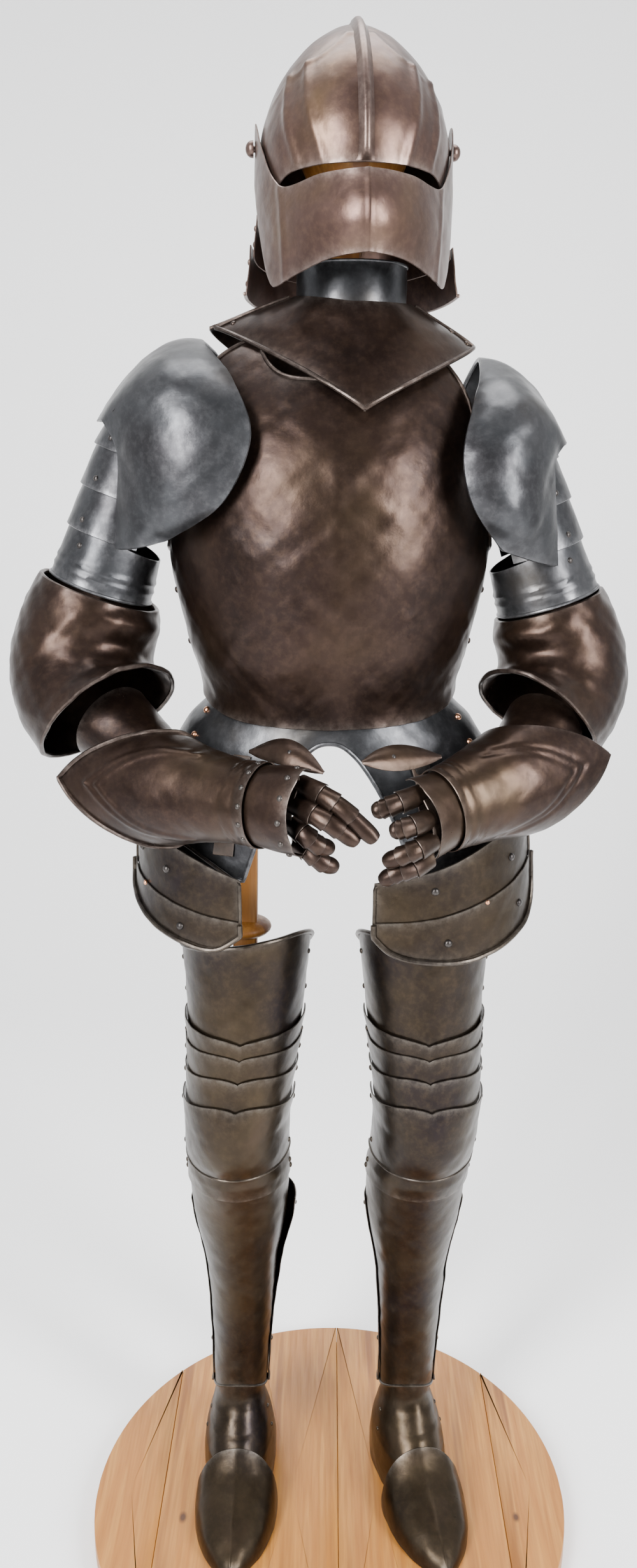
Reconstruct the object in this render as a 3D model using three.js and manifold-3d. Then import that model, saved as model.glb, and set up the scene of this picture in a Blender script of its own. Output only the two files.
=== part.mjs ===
// Suit of plate armour on a wooden stand.
// Millimetres, +Z up, the suit faces -Y. "Right" and "left" are the wearer's own, so right is at -X.
// Every plate is a hollow wall. Its outer face is a form: a function that gives a point for a turn round
// the body (0 degrees at the front, 90 at +X) and a level along it, read from a short table of sections.
import * as THREE from 'three';
import { mergeVertices } from 'three/addons/utils/BufferGeometryUtils.js';
import Module from 'manifold-3d';

const wasm = await Module();
wasm.setup();

// ---------- driving dimensions ----------
const plinth = { radius: 325, height: 28, bevel: 3, sides: 40 };
const wall = { plate: 1.6, heavy: 2, strap: 2.4 };
const lap = 4.2; // how far the open end of a lame stands out over the next plate
const stock = { post: 30, bar: 36, neck: 34 }; // square timber of the stand

const finish = {
  russet: { color: '#5b4238', roughness: 0.42, metalness: 0.9 },
  brown: { color: '#54412f', roughness: 0.4, metalness: 0.9 },
  blued: { color: '#5d5f66', roughness: 0.4, metalness: 0.9 },
  leather: { color: '#3a2b22', roughness: 0.8, metalness: 0 },
  pine: { color: '#b97a3c', roughness: 0.55, metalness: 0 },
};

const suit = new THREE.Group();
suit.position.z = plinth.height;
const model = new THREE.Group();
model.add(suit);

// ---------- reading tables ----------
const radians = THREE.MathUtils.degToRad;
const point = (x, y, z) => new THREE.Vector3(x, y, z);

// Reads every column of a table at one value of its "at" column, on a smooth curve through the rows.
function readTable(rows, at) {
  const last = rows.length - 1;
  const spot = THREE.MathUtils.clamp(at, rows[0].at, rows[last].at);
  let i = 0;
  while (i < last - 1 && spot > rows[i + 1].at) i += 1;
  const before = rows[Math.max(i - 1, 0)];
  const start = rows[i];
  const end = rows[i + 1];
  const after = rows[Math.min(i + 2, last)];
  const span = end.at - start.at;
  const t = (spot - start.at) / span;
  const read = { at };
  for (const column of Object.keys(start)) {
    if (column === 'at') continue;
    const slopeIn = (end[column] - before[column]) * span / (end.at - before.at);
    const slopeOut = (after[column] - start[column]) * span / (after.at - start.at);
    read[column] = start[column] * (2 * t ** 3 - 3 * t ** 2 + 1) + slopeIn * (t ** 3 - 2 * t ** 2 + t)
      + end[column] * (3 * t ** 2 - 2 * t ** 3) + slopeOut * (t ** 3 - t ** 2);
  }
  return read;
}

// One value of a two-column table of edge heights; the table is the same on both sides of the front.
const edge = (rows) => (turn) => readTable(rows, Math.abs(turn)).z;
// The same for a table that runs on from one side to the other.
const unevenEdge = (rows) => (turn) => readTable(rows, turn).z;

// ---------- forms ----------
// A section is an oval with its own half width, front and back depth; "square" above 2 squares it up and
// below 2 gives it a keel at the front.
function ringPoint(row, turn) {
  const s = Math.sin(radians(turn));
  const c = Math.cos(radians(turn));
  const power = 2 / (row.square ?? 2);
  const depth = c > 0 ? row.front : row.back;
  const side = Math.sign(s) * Math.abs(s) ** power;
  const ahead = Math.sign(c) * Math.abs(c) ** power;
  return point((row.x ?? 0) + row.half * side, (row.y ?? 0) - depth * ahead, row.z ?? row.at);
}

const grown = (row, by) => ({ ...row, half: row.half + by, front: row.front + by, back: row.back + by });

// A form from a table of sections; grow moves its face out by an amount that may change with the level.
const ringForm = (rows, grow = () => 0) => (turn, level) =>
  ringPoint(grown(readTable(rows, level), grow(level)), turn);

// Out by the lap at one level and flush at another, so that overlapping plates nest.
const flare = (flushAt, openAt, by = lap) => (level) =>
  by * THREE.MathUtils.clamp((level - flushAt) / (openAt - flushAt), 0, 1);

// ---------- walls ----------
function closedBody(positions, triangles) {
  let geometry = new THREE.BufferGeometry();
  geometry.setAttribute('position', new THREE.Float32BufferAttribute(positions, 3));
  geometry.setIndex(triangles);
  geometry = mergeVertices(geometry, 1e-4);
  return facingOut(geometry);
}

function facingOut(geometry) {
  const place = geometry.getAttribute('position');
  const index = geometry.getIndex().array;
  const corner = (n) => new THREE.Vector3().fromBufferAttribute(place, index[n]);
  let volume = 0;
  for (let n = 0; n < index.length; n += 3) volume += corner(n).dot(corner(n + 1).cross(corner(n + 2)));
  if (volume < 0) for (let n = 0; n < index.length; n += 3) [index[n], index[n + 1]] = [index[n + 1], index[n]];
  return geometry;
}

// A closed wall on a grid of outer points, grid[i][j], with i round the body and j along it.
function wallOn(grid, thick, isRing) {
  const columns = grid.length;
  const rows = grid[0].length;
  const near = (i) => (isRing ? (i + columns) % columns : THREE.MathUtils.clamp(i, 0, columns - 1));
  const inner = grid.map((column, i) => column.map((spot, j) => {
    const round = grid[near(i + 1)][j].clone().sub(grid[near(i - 1)][j]);
    const along = column[Math.min(j + 1, rows - 1)].clone().sub(column[Math.max(j - 1, 0)]);
    return spot.clone().addScaledVector(round.cross(along).normalize(), -thick);
  }));
  const positions = [...grid.flat(), ...inner.flat()].flatMap((spot) => spot.toArray());
  const outside = (i, j) => near(i) * rows + j;
  const inside = (i, j) => columns * rows + outside(i, j);
  const triangles = [];
  const quad = (a, b, c, d) => triangles.push(a, b, c, a, c, d);
  const spans = isRing ? columns : columns - 1;
  for (let i = 0; i < spans; i += 1) {
    for (let j = 0; j < rows - 1; j += 1) {
      quad(outside(i, j), outside(i + 1, j), outside(i + 1, j + 1), outside(i, j + 1));
      quad(inside(i, j), inside(i, j + 1), inside(i + 1, j + 1), inside(i + 1, j));
    }
    quad(outside(i, 0), inside(i, 0), inside(i + 1, 0), outside(i + 1, 0));
    quad(outside(i, rows - 1), outside(i + 1, rows - 1), inside(i + 1, rows - 1), inside(i, rows - 1));
  }
  if (!isRing) {
    const end = columns - 1;
    for (let j = 0; j < rows - 1; j += 1) {
      quad(outside(0, j), outside(0, j + 1), inside(0, j + 1), inside(0, j));
      quad(outside(end, j), inside(end, j), inside(end, j + 1), outside(end, j + 1));
    }
  }
  return closedBody(positions, triangles);
}

// The part of a form between two turns and two edges. An edge is a level or a function of the turn.
function plate(form, { from = -180, to = 180, low, high, across, up, thick = wall.plate, ease = (t) => t }) {
  const level = (value, turn) => (typeof value === 'function' ? value(turn) : value);
  const isRing = to - from === 360;
  const grid = [];
  for (let i = 0; i < across + (isRing ? 0 : 1); i += 1) {
    const turn = from + (to - from) * i / across;
    const bottom = level(low, turn);
    const top = level(high, turn);
    grid.push(Array.from({ length: up + 1 }, (_, j) => form(turn, bottom + (top - bottom) * ease(j / up))));
  }
  return wallOn(grid, thick, isRing);
}

// ---------- booleans ----------
function toSolid(geometry) {
  const bare = geometry.clone();
  bare.deleteAttribute('normal');
  bare.deleteAttribute('uv');
  const merged = mergeVertices(bare, 1e-4);
  return new wasm.Manifold(new wasm.Mesh({
    numProp: 3,
    vertProperties: new Float32Array(merged.getAttribute('position').array),
    triVerts: new Uint32Array(merged.getIndex().array),
  }));
}

function fromSolid(solid) {
  const mesh = solid.getMesh();
  return closedBody(Array.from(mesh.vertProperties), Array.from(mesh.triVerts));
}

const joined = (...parts) => fromSolid(parts.map(toSolid).reduce((whole, part) => whole.add(part)));
const cutFrom = (whole, ...tools) =>
  fromSolid(tools.map(toSolid).reduce((rest, tool) => rest.subtract(tool), toSolid(whole)));

// A square timber between two points.
function timber(from, to, width, depth = width) {
  const length = from.distanceTo(to);
  const box = new THREE.BoxGeometry(width, depth, length);
  const frame = new THREE.Matrix4().lookAt(to, from, point(0, 1, 0));
  return box.applyMatrix4(frame.setPosition(from.clone().lerp(to, 0.5)));
}

function cylinderAlongX(radius, fromX, toX, y, z, sides = 12) {
  const rod = new THREE.CylinderGeometry(radius, radius, Math.abs(toX - fromX), sides);
  return rod.rotateZ(Math.PI / 2).translate((fromX + toX) / 2, y, z);
}

// ---------- naming ----------
function add(name, geometry, look, place = suit) {
  const mesh = new THREE.Mesh(geometry, new THREE.MeshStandardMaterial(finish[look]));
  mesh.name = name;
  place.add(mesh);
  return mesh;
}

const sides = ['right', 'left'];

// ---------- stand ----------
function plinthBoard() {
  const { radius, height, bevel } = plinth;
  const profile = [[0, 0], [radius, 0], [radius, height - bevel], [radius - bevel, height], [0, height]];
  const board = new THREE.LatheGeometry(profile.map(([r, z]) => new THREE.Vector2(r, z)), plinth.sides);
  return toSolid(facingOut(mergeVertices(withoutNormals(board.rotateX(Math.PI / 2)), 1e-3)));
}

function withoutNormals(geometry) {
  geometry.deleteAttribute('normal');
  geometry.deleteAttribute('uv');
  return geometry;
}

const seat = 0.7; // clearance of what stands on the plinth
const legPost = {
  right: { foot: point(-124, 68, 2 * seat), hip: point(-100, 50, 1140) },
  left: { foot: point(110, 68, 2 * seat), hip: point(112, 50, 1140) },
};
const thighDisc = { radius: 33, thick: 26, z: 822 };
const shoulderBar = { reach: 118, z: 1436 };
const headBlock = { radius: 62, height: 150, z: 1735, x: 26, y: 40 };

function standFrame() {
  const parts = sides.map((side) => timber(legPost[side].foot, legPost[side].hip, stock.post));
  for (const side of sides) {
    const { foot, hip } = legPost[side];
    const middle = foot.clone().lerp(hip, thighDisc.z / hip.z);
    const disc = new THREE.SphereGeometry(1, 12, 6);
    parts.push(disc.rotateX(Math.PI / 2).scale(thighDisc.radius, thighDisc.radius, thighDisc.thick / 2)
      .translate(middle.x, middle.y, thighDisc.z));
  }
  const hipZ = 1130;
  const spine = { x: 6, y: 52 };
  parts.push(timber(point(-116, 50, hipZ), point(126, 50, hipZ), stock.bar));
  parts.push(timber(point(spine.x, spine.y, hipZ), point(spine.x, spine.y, shoulderBar.z + 10), stock.bar));
  parts.push(timber(point(-shoulderBar.reach, spine.y, shoulderBar.z), point(shoulderBar.reach, spine.y,
    shoulderBar.z), stock.bar));
  parts.push(timber(point(spine.x, spine.y, shoulderBar.z), point(headBlock.x, headBlock.y, headBlock.z),
    stock.neck));
  const head = new THREE.SphereGeometry(1, 14, 8).scale(headBlock.radius, headBlock.radius * 1.15,
    headBlock.height / 2);
  parts.push(head.translate(headBlock.x, headBlock.y, headBlock.z));
  return joined(...parts);
}

add('stand_plinth', fromSolid(plinthBoard()), 'pine', model);
add('stand_frame', standFrame(), 'pine');

// ---------- helmet ----------
const helmet = new THREE.Group();
helmet.position.set(26, 35, 0);
helmet.rotation.z = radians(4.5);
suit.add(helmet);

const skullRows = [
  { at: 1636, half: 95, front: 124, back: 122 },
  { at: 1680, half: 99, front: 131, back: 127 },
  { at: 1719, half: 100, front: 129, back: 125 },
  { at: 1768, half: 83, front: 109, back: 105 },
  { at: 1802, half: 57, front: 77, back: 75 },
  { at: 1822, half: 30, front: 43, back: 43 },
  { at: 1832, half: 4, front: 5, back: 5 },
];
const skullEdge = edge([
  { at: 0, z: 1677 }, { at: 46, z: 1675 }, { at: 58, z: 1668 }, { at: 80, z: 1644 }, { at: 180, z: 1638 },
]);
const comb = { half: 4.5, rise: 7, sink: 3, steps: 9, brow: 1679, nape: 1690, crown: 1831 };
const pivot = { z: 1715, shaft: 3.5, hole: 4.2, head: 8.5, headOut: 5, armGap: 0.5 };

const domeEase = (t) => Math.sin(t * Math.PI / 2) ** 0.9;
const skullForm = ringForm(skullRows);

// The comb: a ridge of square section from the brow over the crown to the nape.
function combRidge() {
  const spots = [];
  const steps = comb.steps;
  const climb = (turn, foot, i) => skullForm(turn, foot + (comb.crown - foot) * domeEase(i / steps));
  for (let i = 0; i <= steps; i += 1) spots.push(climb(0, comb.brow, i));
  for (let i = steps; i >= 0; i -= 1) spots.push(climb(180, comb.nape, i));
  const grid = spots.map((spot, i) => {
    const ahead = spots[Math.min(i + 1, spots.length - 1)].clone().sub(spots[Math.max(i - 1, 0)]);
    const out = point(0, -ahead.z, ahead.y).normalize();
    const fade = Math.min(1, (i + 0.5) / 1.5, (spots.length - 0.5 - i) / 1.5);
    const foot = spot.clone().addScaledVector(out, -comb.sink);
    const crest = spot.clone().addScaledVector(out, comb.rise * fade);
    return [-1, 1].flatMap((s) => [foot, crest].map((p) => p.clone().setX(s * comb.half)));
  });
  return loftedBar(grid.map(([a, b, c, d]) => [a, b, d, c]));
}

// A solid bar through sections of the same number of corners.
function loftedBar(sections) {
  const corners = sections[0].length;
  const positions = sections.flat().flatMap((spot) => spot.toArray());
  const triangles = [];
  for (let i = 0; i < sections.length - 1; i += 1) {
    for (let k = 0; k < corners; k += 1) {
      const a = i * corners + k;
      const b = i * corners + (k + 1) % corners;
      triangles.push(a, b, b + corners, a, b + corners, a + corners);
    }
  }
  const last = (sections.length - 1) * corners;
  for (let k = 1; k < corners - 1; k += 1) {
    triangles.push(0, k + 1, k, last, last + k, last + k + 1);
  }
  return closedBody(positions, triangles);
}

const visorRows = [
  { at: 1560, half: 104, front: 152, back: 110, square: 1.62 },
  { at: 1592, half: 105, front: 158, back: 111, square: 1.62 },
  { at: 1625, half: 106, front: 168, back: 111, square: 1.62 },
  { at: 1664, half: 107, front: 156, back: 111, square: 1.62 },
  { at: 1700, half: 106, front: 142, back: 111, square: 1.8 },
  { at: 1740, half: 105, front: 126, back: 110, square: 2 },
];
const visorLow = edge([
  { at: 0, z: 1592 }, { at: 25, z: 1588 }, { at: 45, z: 1578 }, { at: 60, z: 1571 }, { at: 66, z: 1577 },
  { at: 74, z: 1612 }, { at: 84, z: 1668 }, { at: 91, z: 1694 }, { at: 98, z: 1700 },
]);
const visorHigh = edge([
  { at: 0, z: 1667 }, { at: 30, z: 1665 }, { at: 51, z: 1661 }, { at: 60, z: 1674 }, { at: 72, z: 1708 },
  { at: 84, z: 1734 }, { at: 91, z: 1738 }, { at: 98, z: 1726 },
]);
const breaths = [
  { x: -44, lean: 0.3, z: 1627 }, { x: -23, lean: 0.26, z: 1629 },
  { x: 20, lean: -0.22, z: 1629 }, { x: 38, lean: -0.24, z: 1627 },
];
const breath = { long: 46, wide: 9 };

function breathTool({ x, lean, z }) {
  const half = breath.long / 2;
  const lens = new THREE.Shape();
  lens.moveTo(0, -half);
  lens.quadraticCurveTo(breath.wide, 0, 0, half);
  lens.quadraticCurveTo(-breath.wide, 0, 0, -half);
  const tool = new THREE.ExtrudeGeometry(lens, { depth: 120, bevelEnabled: false, curveSegments: 3 });
  return tool.rotateZ(lean).rotateX(Math.PI / 2).translate(x, -90, z);
}

const skullWall = plate(skullForm, {
  low: skullEdge, high: 1832, across: 24, up: 7, ease: domeEase,
});
const boltTip = pivot.headOut + 110;
const bolts = [-1, 1].map((s) => joined(
  cylinderAlongX(pivot.shaft, s * 98.4, s * boltTip, 0, pivot.z),
  cylinderAlongX(pivot.head, s * (106 + pivot.armGap), s * boltTip, 0, pivot.z),
));
add('helmet_skull', joined(skullWall, combRidge(), ...bolts), 'russet', helmet);

const visorWall = plate(ringForm(visorRows), {
  from: -98, to: 98, low: visorLow, high: visorHigh, across: 28, up: 4,
});
const pivotHoles = [-1, 1].map((s) => cylinderAlongX(pivot.hole, s * 95, s * 120, 0, pivot.z));
add('helmet_visor', cutFrom(visorWall, ...pivotHoles, ...breaths.map(breathTool)), 'russet', helmet);

const tailRows = [
  { at: 1552, half: 117, front: 118, back: 150 },
  { at: 1600, half: 110, front: 112, back: 138 },
  { at: 1650, half: 105, front: 107, back: 131 },
];
const tailLow = (z) => edge([{ at: 93, z: z + 8 }, { at: 130, z }, { at: 180, z: z - 6 }]);
const tail = { from: 93, to: 267, across: 14, up: 1 };
const foldTurn = (form) => (turn, level) => form(turn > 180 ? turn - 360 : turn, level);
const tailEdge = (z) => (turn) => tailLow(z)(turn > 180 ? 360 - turn : turn);
add('helmet_tail_upper', plate(foldTurn(ringForm(tailRows)), { ...tail, low: tailEdge(1602), high: 1652 }),
  'russet', helmet);
add('helmet_tail_lower', plate(foldTurn(ringForm(tailRows, () => lap)), {
  ...tail, low: tailEdge(1564), high: tailEdge(1614),
}), 'russet', helmet);

// ---------- gorget ----------
const gorget = new THREE.Group();
gorget.position.set(14, 40, 1527);
gorget.rotation.y = radians(4);
suit.add(gorget);

// Level 0 is at the neck and 1 at the outer edge; dip carries the front down to its point and skew moves
// that point a little to one side, as the collar has settled on the stand.
const gorgetRows = [
  { at: 0, x: 9, y: 1, z: 38, half: 67, front: 67, back: 66, square: 2, dip: 6, skew: 0 },
  { at: 0.35, x: 6, y: 1, z: 26, half: 92, front: 82, back: 80, square: 1.85, dip: 30, skew: 9 },
  { at: 0.7, x: 3, y: 0, z: 12, half: 122, front: 104, back: 104, square: 1.5, dip: 58, skew: 18 },
  { at: 1, x: 0, y: 0, z: 0, half: 145, front: 124, back: 122, square: 1.28, dip: 80, skew: 28 },
];
function gorgetForm(turn, level) {
  const row = readTable(gorgetRows, level);
  const toFront = 1 - Math.abs(Math.sin(radians(turn))) ** 1.4;
  const settled = row.skew * Math.cos(radians(turn));
  return ringPoint({ ...row, x: row.x + settled, z: row.z - row.dip * toFront }, turn);
}
const gorgetHalf = { across: 16, up: 3, low: 1, high: 0 };
add('gorget_front', plate(gorgetForm, { ...gorgetHalf, from: -85.5, to: 85.5 }), 'russet', gorget);
add('gorget_back', plate(gorgetForm, { ...gorgetHalf, from: 94.5, to: 265.5 }), 'russet', gorget);

const collarRows = [
  { at: 1545, x: 24, y: 42, half: 61.5, front: 61.5, back: 61.5 },
  { at: 1600, x: 25, y: 42, half: 60.5, front: 60.5, back: 60.5 },
];
add('gorget_collar', plate(ringForm(collarRows), { low: 1550, high: 1600, across: 20, up: 1 }), 'blued');

// ---------- breast and back ----------
const torsoRows = [
  { at: 1085, y: 50, half: 153, front: 122, back: 106 },
  { at: 1133, y: 50, half: 150, front: 130, back: 106 },
  { at: 1190, y: 50, half: 165, front: 146, back: 114 },
  { at: 1290, y: 50, half: 185, front: 158, back: 128 },
  { at: 1380, y: 50, half: 182, front: 150, back: 134 },
  { at: 1450, y: 50, half: 174, front: 120, back: 128 },
  { at: 1500, y: 50, half: 152, front: 84, back: 110 },
  { at: 1532, y: 50, half: 108, front: 54, back: 88 },
];
const breastLow = edge([{ at: 0, z: 1106 }, { at: 45, z: 1111 }, { at: 90, z: 1134 }]);
const breastHigh = edge([
  { at: 0, z: 1478 }, { at: 18, z: 1484 }, { at: 36, z: 1520 }, { at: 48, z: 1518 }, { at: 57, z: 1490 },
  { at: 66, z: 1424 }, { at: 74, z: 1348 }, { at: 80, z: 1310 }, { at: 90, z: 1296 },
]);
const backHigh = (turn) => edge([
  { at: 0, z: 1500 }, { at: 22, z: 1506 }, { at: 40, z: 1528 }, { at: 50, z: 1518 }, { at: 58, z: 1488 },
  { at: 66, z: 1424 }, { at: 76, z: 1340 }, { at: 84, z: 1304 }, { at: 102, z: 1294 },
])(turn - 180);
add('breastplate', plate(ringForm(torsoRows), {
  from: -90, to: 90, low: breastLow, high: breastHigh, across: 16, up: 7, thick: wall.heavy,
}), 'russet');
add('backplate', plate(ringForm(torsoRows, () => -4), {
  from: 78.75, to: 281.25, low: 1136, high: backHigh, across: 18, up: 6, thick: wall.heavy,
}), 'russet');

// ---------- fauld and culet ----------
const skirtRows = [
  { at: 930, y: 50, half: 222, front: 144, back: 168 },
  { at: 1040, y: 50, half: 200, front: 135, back: 150 },
  { at: 1098, y: 50, half: 170, front: 125, back: 122 },
  { at: 1127, y: 50, half: 143, front: 119, back: 98 },
  { at: 1156, y: 50, half: 139, front: 116, back: 95 },
];
const belly = 34; // how much lower the skirt starts to spread at the front than at the sides
function skirtForm(turn, level, grow = 0) {
  const ahead = Math.max(0, Math.cos(radians(turn)));
  return ringPoint({ ...grown(readTable(skirtRows, level + belly * ahead ** 2), grow), z: level }, turn);
}
const arch = { top: 1088, bottom: 935, half: 98, power: 2.5 };
const towardsTop = (t) => 1 - (1 - t) ** 1.6; // more rows where the skirt bends at the waist
function fauldLow(turn) {
  const across = skirtRows[0].half * Math.sin(radians(turn)) / arch.half;
  const underArch = arch.top - (arch.top - arch.bottom) * Math.abs(across) ** arch.power;
  const hem = readTable([{ at: 0, z: 932 }, { at: 40, z: 930 }, { at: 90, z: 958 }], Math.abs(turn)).z;
  return Math.max(underArch, hem);
}
add('fauld', plate(skirtForm, {
  from: -90, to: 90, low: fauldLow, high: 1150, across: 24, up: 6, ease: towardsTop,
}), 'blued');
const culetHem = edge([{ at: 0, z: 1042 }, { at: 30, z: 1030 }, { at: 60, z: 975 }, { at: 99, z: 958 }]);
add('culet', plate((turn, level) => skirtForm(turn, level, -6), {
  from: 81, to: 279, low: (turn) => culetHem(turn - 180), high: 1144, across: 18, up: 5, ease: towardsTop,
}), 'blued');

// ---------- tassets ----------
const tassetPlace = {
  right: { x: -105, y: 30, half: 126, front: 132, from: -84, to: 2 },
  left: { x: 100, y: 30, half: 140, front: 132, from: -20, to: 82 },
};
const tassetEdges = {
  right: {
    top: unevenEdge([{ at: -84, z: 992 }, { at: -40, z: 975 }, { at: 2, z: 938 }]),
    seam: unevenEdge([{ at: -84, z: 930 }, { at: -50, z: 912 }, { at: -20, z: 897 }, { at: 2, z: 888 }]),
    bottom: unevenEdge([
      { at: -84, z: 912 }, { at: -72, z: 893 }, { at: -50, z: 873 }, { at: -24, z: 857 }, { at: -10, z: 855 },
      { at: 2, z: 872 },
    ]),
  },
  left: {
    top: unevenEdge([{ at: -20, z: 932 }, { at: 10, z: 950 }, { at: 45, z: 982 }, { at: 82, z: 992 }]),
    seam: unevenEdge([{ at: -20, z: 884 }, { at: 10, z: 893 }, { at: 45, z: 915 }, { at: 82, z: 940 }]),
    bottom: unevenEdge([
      { at: -20, z: 868 }, { at: -12, z: 850 }, { at: 2, z: 840 }, { at: 25, z: 838 }, { at: 50, z: 852 },
      { at: 72, z: 874 }, { at: 82, z: 905 },
    ]),
  },
};
const tassetLap = 12;
for (const side of sides) {
  const { x, y, half, front, from, to } = tassetPlace[side];
  const { top, seam, bottom } = tassetEdges[side];
  const body = (grow) => (turn, level) => ringPoint(
    { x, y, z: level, half: half + grow + (980 - level) * 0.05, front: front + grow, back: front }, turn);
  add(`tasset_upper_${side}`, plate(body(0), {
    from, to, low: (turn) => seam(turn) - tassetLap, high: top, across: 8, up: 1,
  }), 'brown');
  add(`tasset_lower_${side}`, plate(body(2.4), { from, to, low: bottom, high: seam, across: 8, up: 1 }),
    'brown');
}
const strap = { right: { from: -38, to: -31 }, left: { from: 31, to: 38 }, top: 1072, bottom: 958, gap: 1.4 };
for (const side of sides) {
  add(`tasset_strap_${side}`, plate((turn, level) => skirtForm(turn, level, wall.strap + strap.gap), {
    ...strap[side], low: strap.bottom, high: strap.top, across: 1, up: 4, thick: wall.strap,
  }), 'leather');
}

// ---------- legs ----------
const legRows = [
  { at: 105, right: -127, left: 108, y: 66, half: 37, front: 44, back: 42 },
  { at: 189, right: -124, left: 111, y: 68, half: 39, front: 46, back: 45 },
  { at: 289, right: -121, left: 113, y: 68, half: 45, front: 54, back: 53 },
  { at: 340, right: -121, left: 113, y: 68, half: 50, front: 61, back: 60 },
  { at: 405, right: -121, left: 114, y: 66, half: 62, front: 72, back: 68 },
  { at: 460, right: -121, left: 116, y: 60, half: 66, front: 80, back: 66 },
  { at: 505, right: -121, left: 120, y: 50, half: 65, front: 86, back: 62 },
  { at: 540, right: -121, left: 124, y: 42, half: 67, front: 97, back: 61 },
  { at: 575, right: -120, left: 126, y: 38, half: 69, front: 101, back: 61 },
  { at: 610, right: -117, left: 126, y: 36, half: 69, front: 95, back: 62 },
  { at: 650, right: -113, left: 124, y: 36, half: 70, front: 90, back: 66 },
  { at: 712, right: -108, left: 121, y: 39, half: 73, front: 90, back: 74 },
  { at: 800, right: -105, left: 119, y: 42, half: 80, front: 90, back: 82 },
  { at: 855, right: -105, left: 119, y: 44, half: 85, front: 94, back: 86 },
];
const legForm = (side, grow = () => 0) => (turn, level) => {
  const row = readTable(legRows, level);
  return ringPoint({ ...grown(row, grow(level)), x: row[side] }, turn);
};
// Upper edge at the front and at the sides of each plate about the knee, and how far the plate runs down.
const kneePlates = [
  { name: 'knee_lame_1', front: 712, side: 718, down: 38 },
  { name: 'knee_lame_2', front: 692, side: 688, down: 44 },
  { name: 'knee_lame_3', front: 662, side: 650, down: 47 },
];
const legArc = { from: -97.5, to: 97.5, across: 13 };
const poleyn = { front: 625, side: 608, bottom: 517, narrow: 576, lip: 2.6 };
const lowerLame = { bottom: 476, top: 526, under: 514, over: 497, tuck: -1.2, out: 3.2 };
const between = (front, side) => (turn) => side + (front - side) * Math.cos(radians(turn)) ** 2;
const inward = { right: 1, left: -1 }; // the sign of a turn towards the other leg

const cuisseRim = unevenEdge([
  { at: -112, z: 806 }, { at: -90, z: 812 }, { at: 0, z: 837 }, { at: 45, z: 842 }, { at: 70, z: 834 },
  { at: 90, z: 818 }, { at: 112, z: 796 },
]);
const greaveBack = { gap: 2.8, open: 9, from: 250, full: 410 }; // the inner edge of the right one stands open

for (const side of sides) {
  const rim = (turn) => cuisseRim(turn * inward[side]);
  add(`cuisse_${side}`, plate(legForm(side), { from: -112, to: 112, low: 700, high: rim, across: 14, up: 3 }),
    'brown');
  for (const { name, front, side: atSide, down } of kneePlates) {
    const top = between(front, atSide);
    add(`${name}_${side}`, plate(legForm(side, flare(front - down, front)), {
      ...legArc, low: (turn) => top(turn) - down, high: top, up: 1,
    }), 'brown');
  }
  const domed = (z) => flare(poleyn.narrow, poleyn.side)(z) + flare(poleyn.narrow, poleyn.bottom, poleyn.lip)(z);
  add(`poleyn_${side}`, plate(legForm(side, domed), {
    ...legArc, low: poleyn.bottom, high: between(poleyn.front, poleyn.side), up: 5,
  }), 'brown');
  const stepped = (z) => lowerLame.tuck
    + flare(lowerLame.under, lowerLame.over, lowerLame.out - lowerLame.tuck)(z);
  add(`greave_lame_${side}`, plate(legForm(side, stepped), {
    ...legArc, low: lowerLame.bottom, high: lowerLame.top, up: 3,
  }), 'brown');
  add(`greave_front_${side}`, plate(legForm(side), {
    ...legArc, low: between(150, 128), high: between(492, 488), up: 6,
  }), 'brown');
  const opening = (turn) => (side === 'right' ? Math.max(0, Math.sin(radians(turn))) : 0);
  const backForm = (turn, level) => legForm(side, (z) => greaveBack.gap
    + opening(turn) * flare(greaveBack.from, greaveBack.full, greaveBack.open)(z))(turn, level);
  add(`greave_back_${side}`, plate(backForm, {
    from: 82.5, to: 277.5, low: 128, high: 428, across: 13, up: 5,
  }), 'brown');
}

// ---------- feet ----------
const footRows = [
  { at: 0.5, y: 62, half: 50, front: 112, back: 66 },
  { at: 30, y: 62, half: 51, front: 106, back: 66 },
  { at: 60, y: 62, half: 48, front: 88, back: 62 },
  { at: 85, y: 63, half: 42, front: 62, back: 54 },
  { at: 106, y: 65, half: 36, front: 46, back: 44 },
  { at: 122, y: 66, half: 32.5, front: 39.5, back: 37 },
  { at: 160, y: 67, half: 32, front: 39, back: 36.5 },
];
// The toe cap runs from its tip at the front back over the instep.
const toeRows = [
  { at: -150, half: 6, rise: 12 },
  { at: -138, half: 19, rise: 21 },
  { at: -110, half: 39, rise: 34 },
  { at: -75, half: 52, rise: 46 },
  { at: -40, half: 57, rise: 59 },
  { at: -12, half: 57, rise: 80 },
];
const footX = { right: -128, left: 110 };
const footYaw = { right: 0, left: 0.2 };
function toeForm(turn, level) {
  const { half, rise } = readTable(toeRows, level);
  const s = Math.sin(radians(turn));
  return point(half * Math.sign(s) * Math.abs(s) ** 0.9, level, seat + rise * Math.cos(radians(turn)) ** 0.8);
}
for (const side of sides) {
  const foot = new THREE.Group();
  foot.position.set(footX[side], 0, 0);
  suit.add(foot);
  const heel = 62;
  const turned = new THREE.Group();
  turned.position.set(0, heel, 0);
  turned.rotation.z = footYaw[side];
  foot.add(turned);
  const inFoot = (form) => (turn, level) => form(turn, level).sub(point(0, heel, 0));
  add(`sabaton_instep_${side}`, plate(inFoot(ringForm(footRows)), {
    low: seat, high: between(146, 136), across: 18, up: 5,
  }), 'brown', turned);
  add(`sabaton_toe_${side}`, plate(inFoot(toeForm), {
    from: -90, to: 90, low: -150, high: (turn) => -24 + 10 * Math.cos(radians(turn)), across: 10, up: 5,
  }), 'brown', turned);
}

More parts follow.
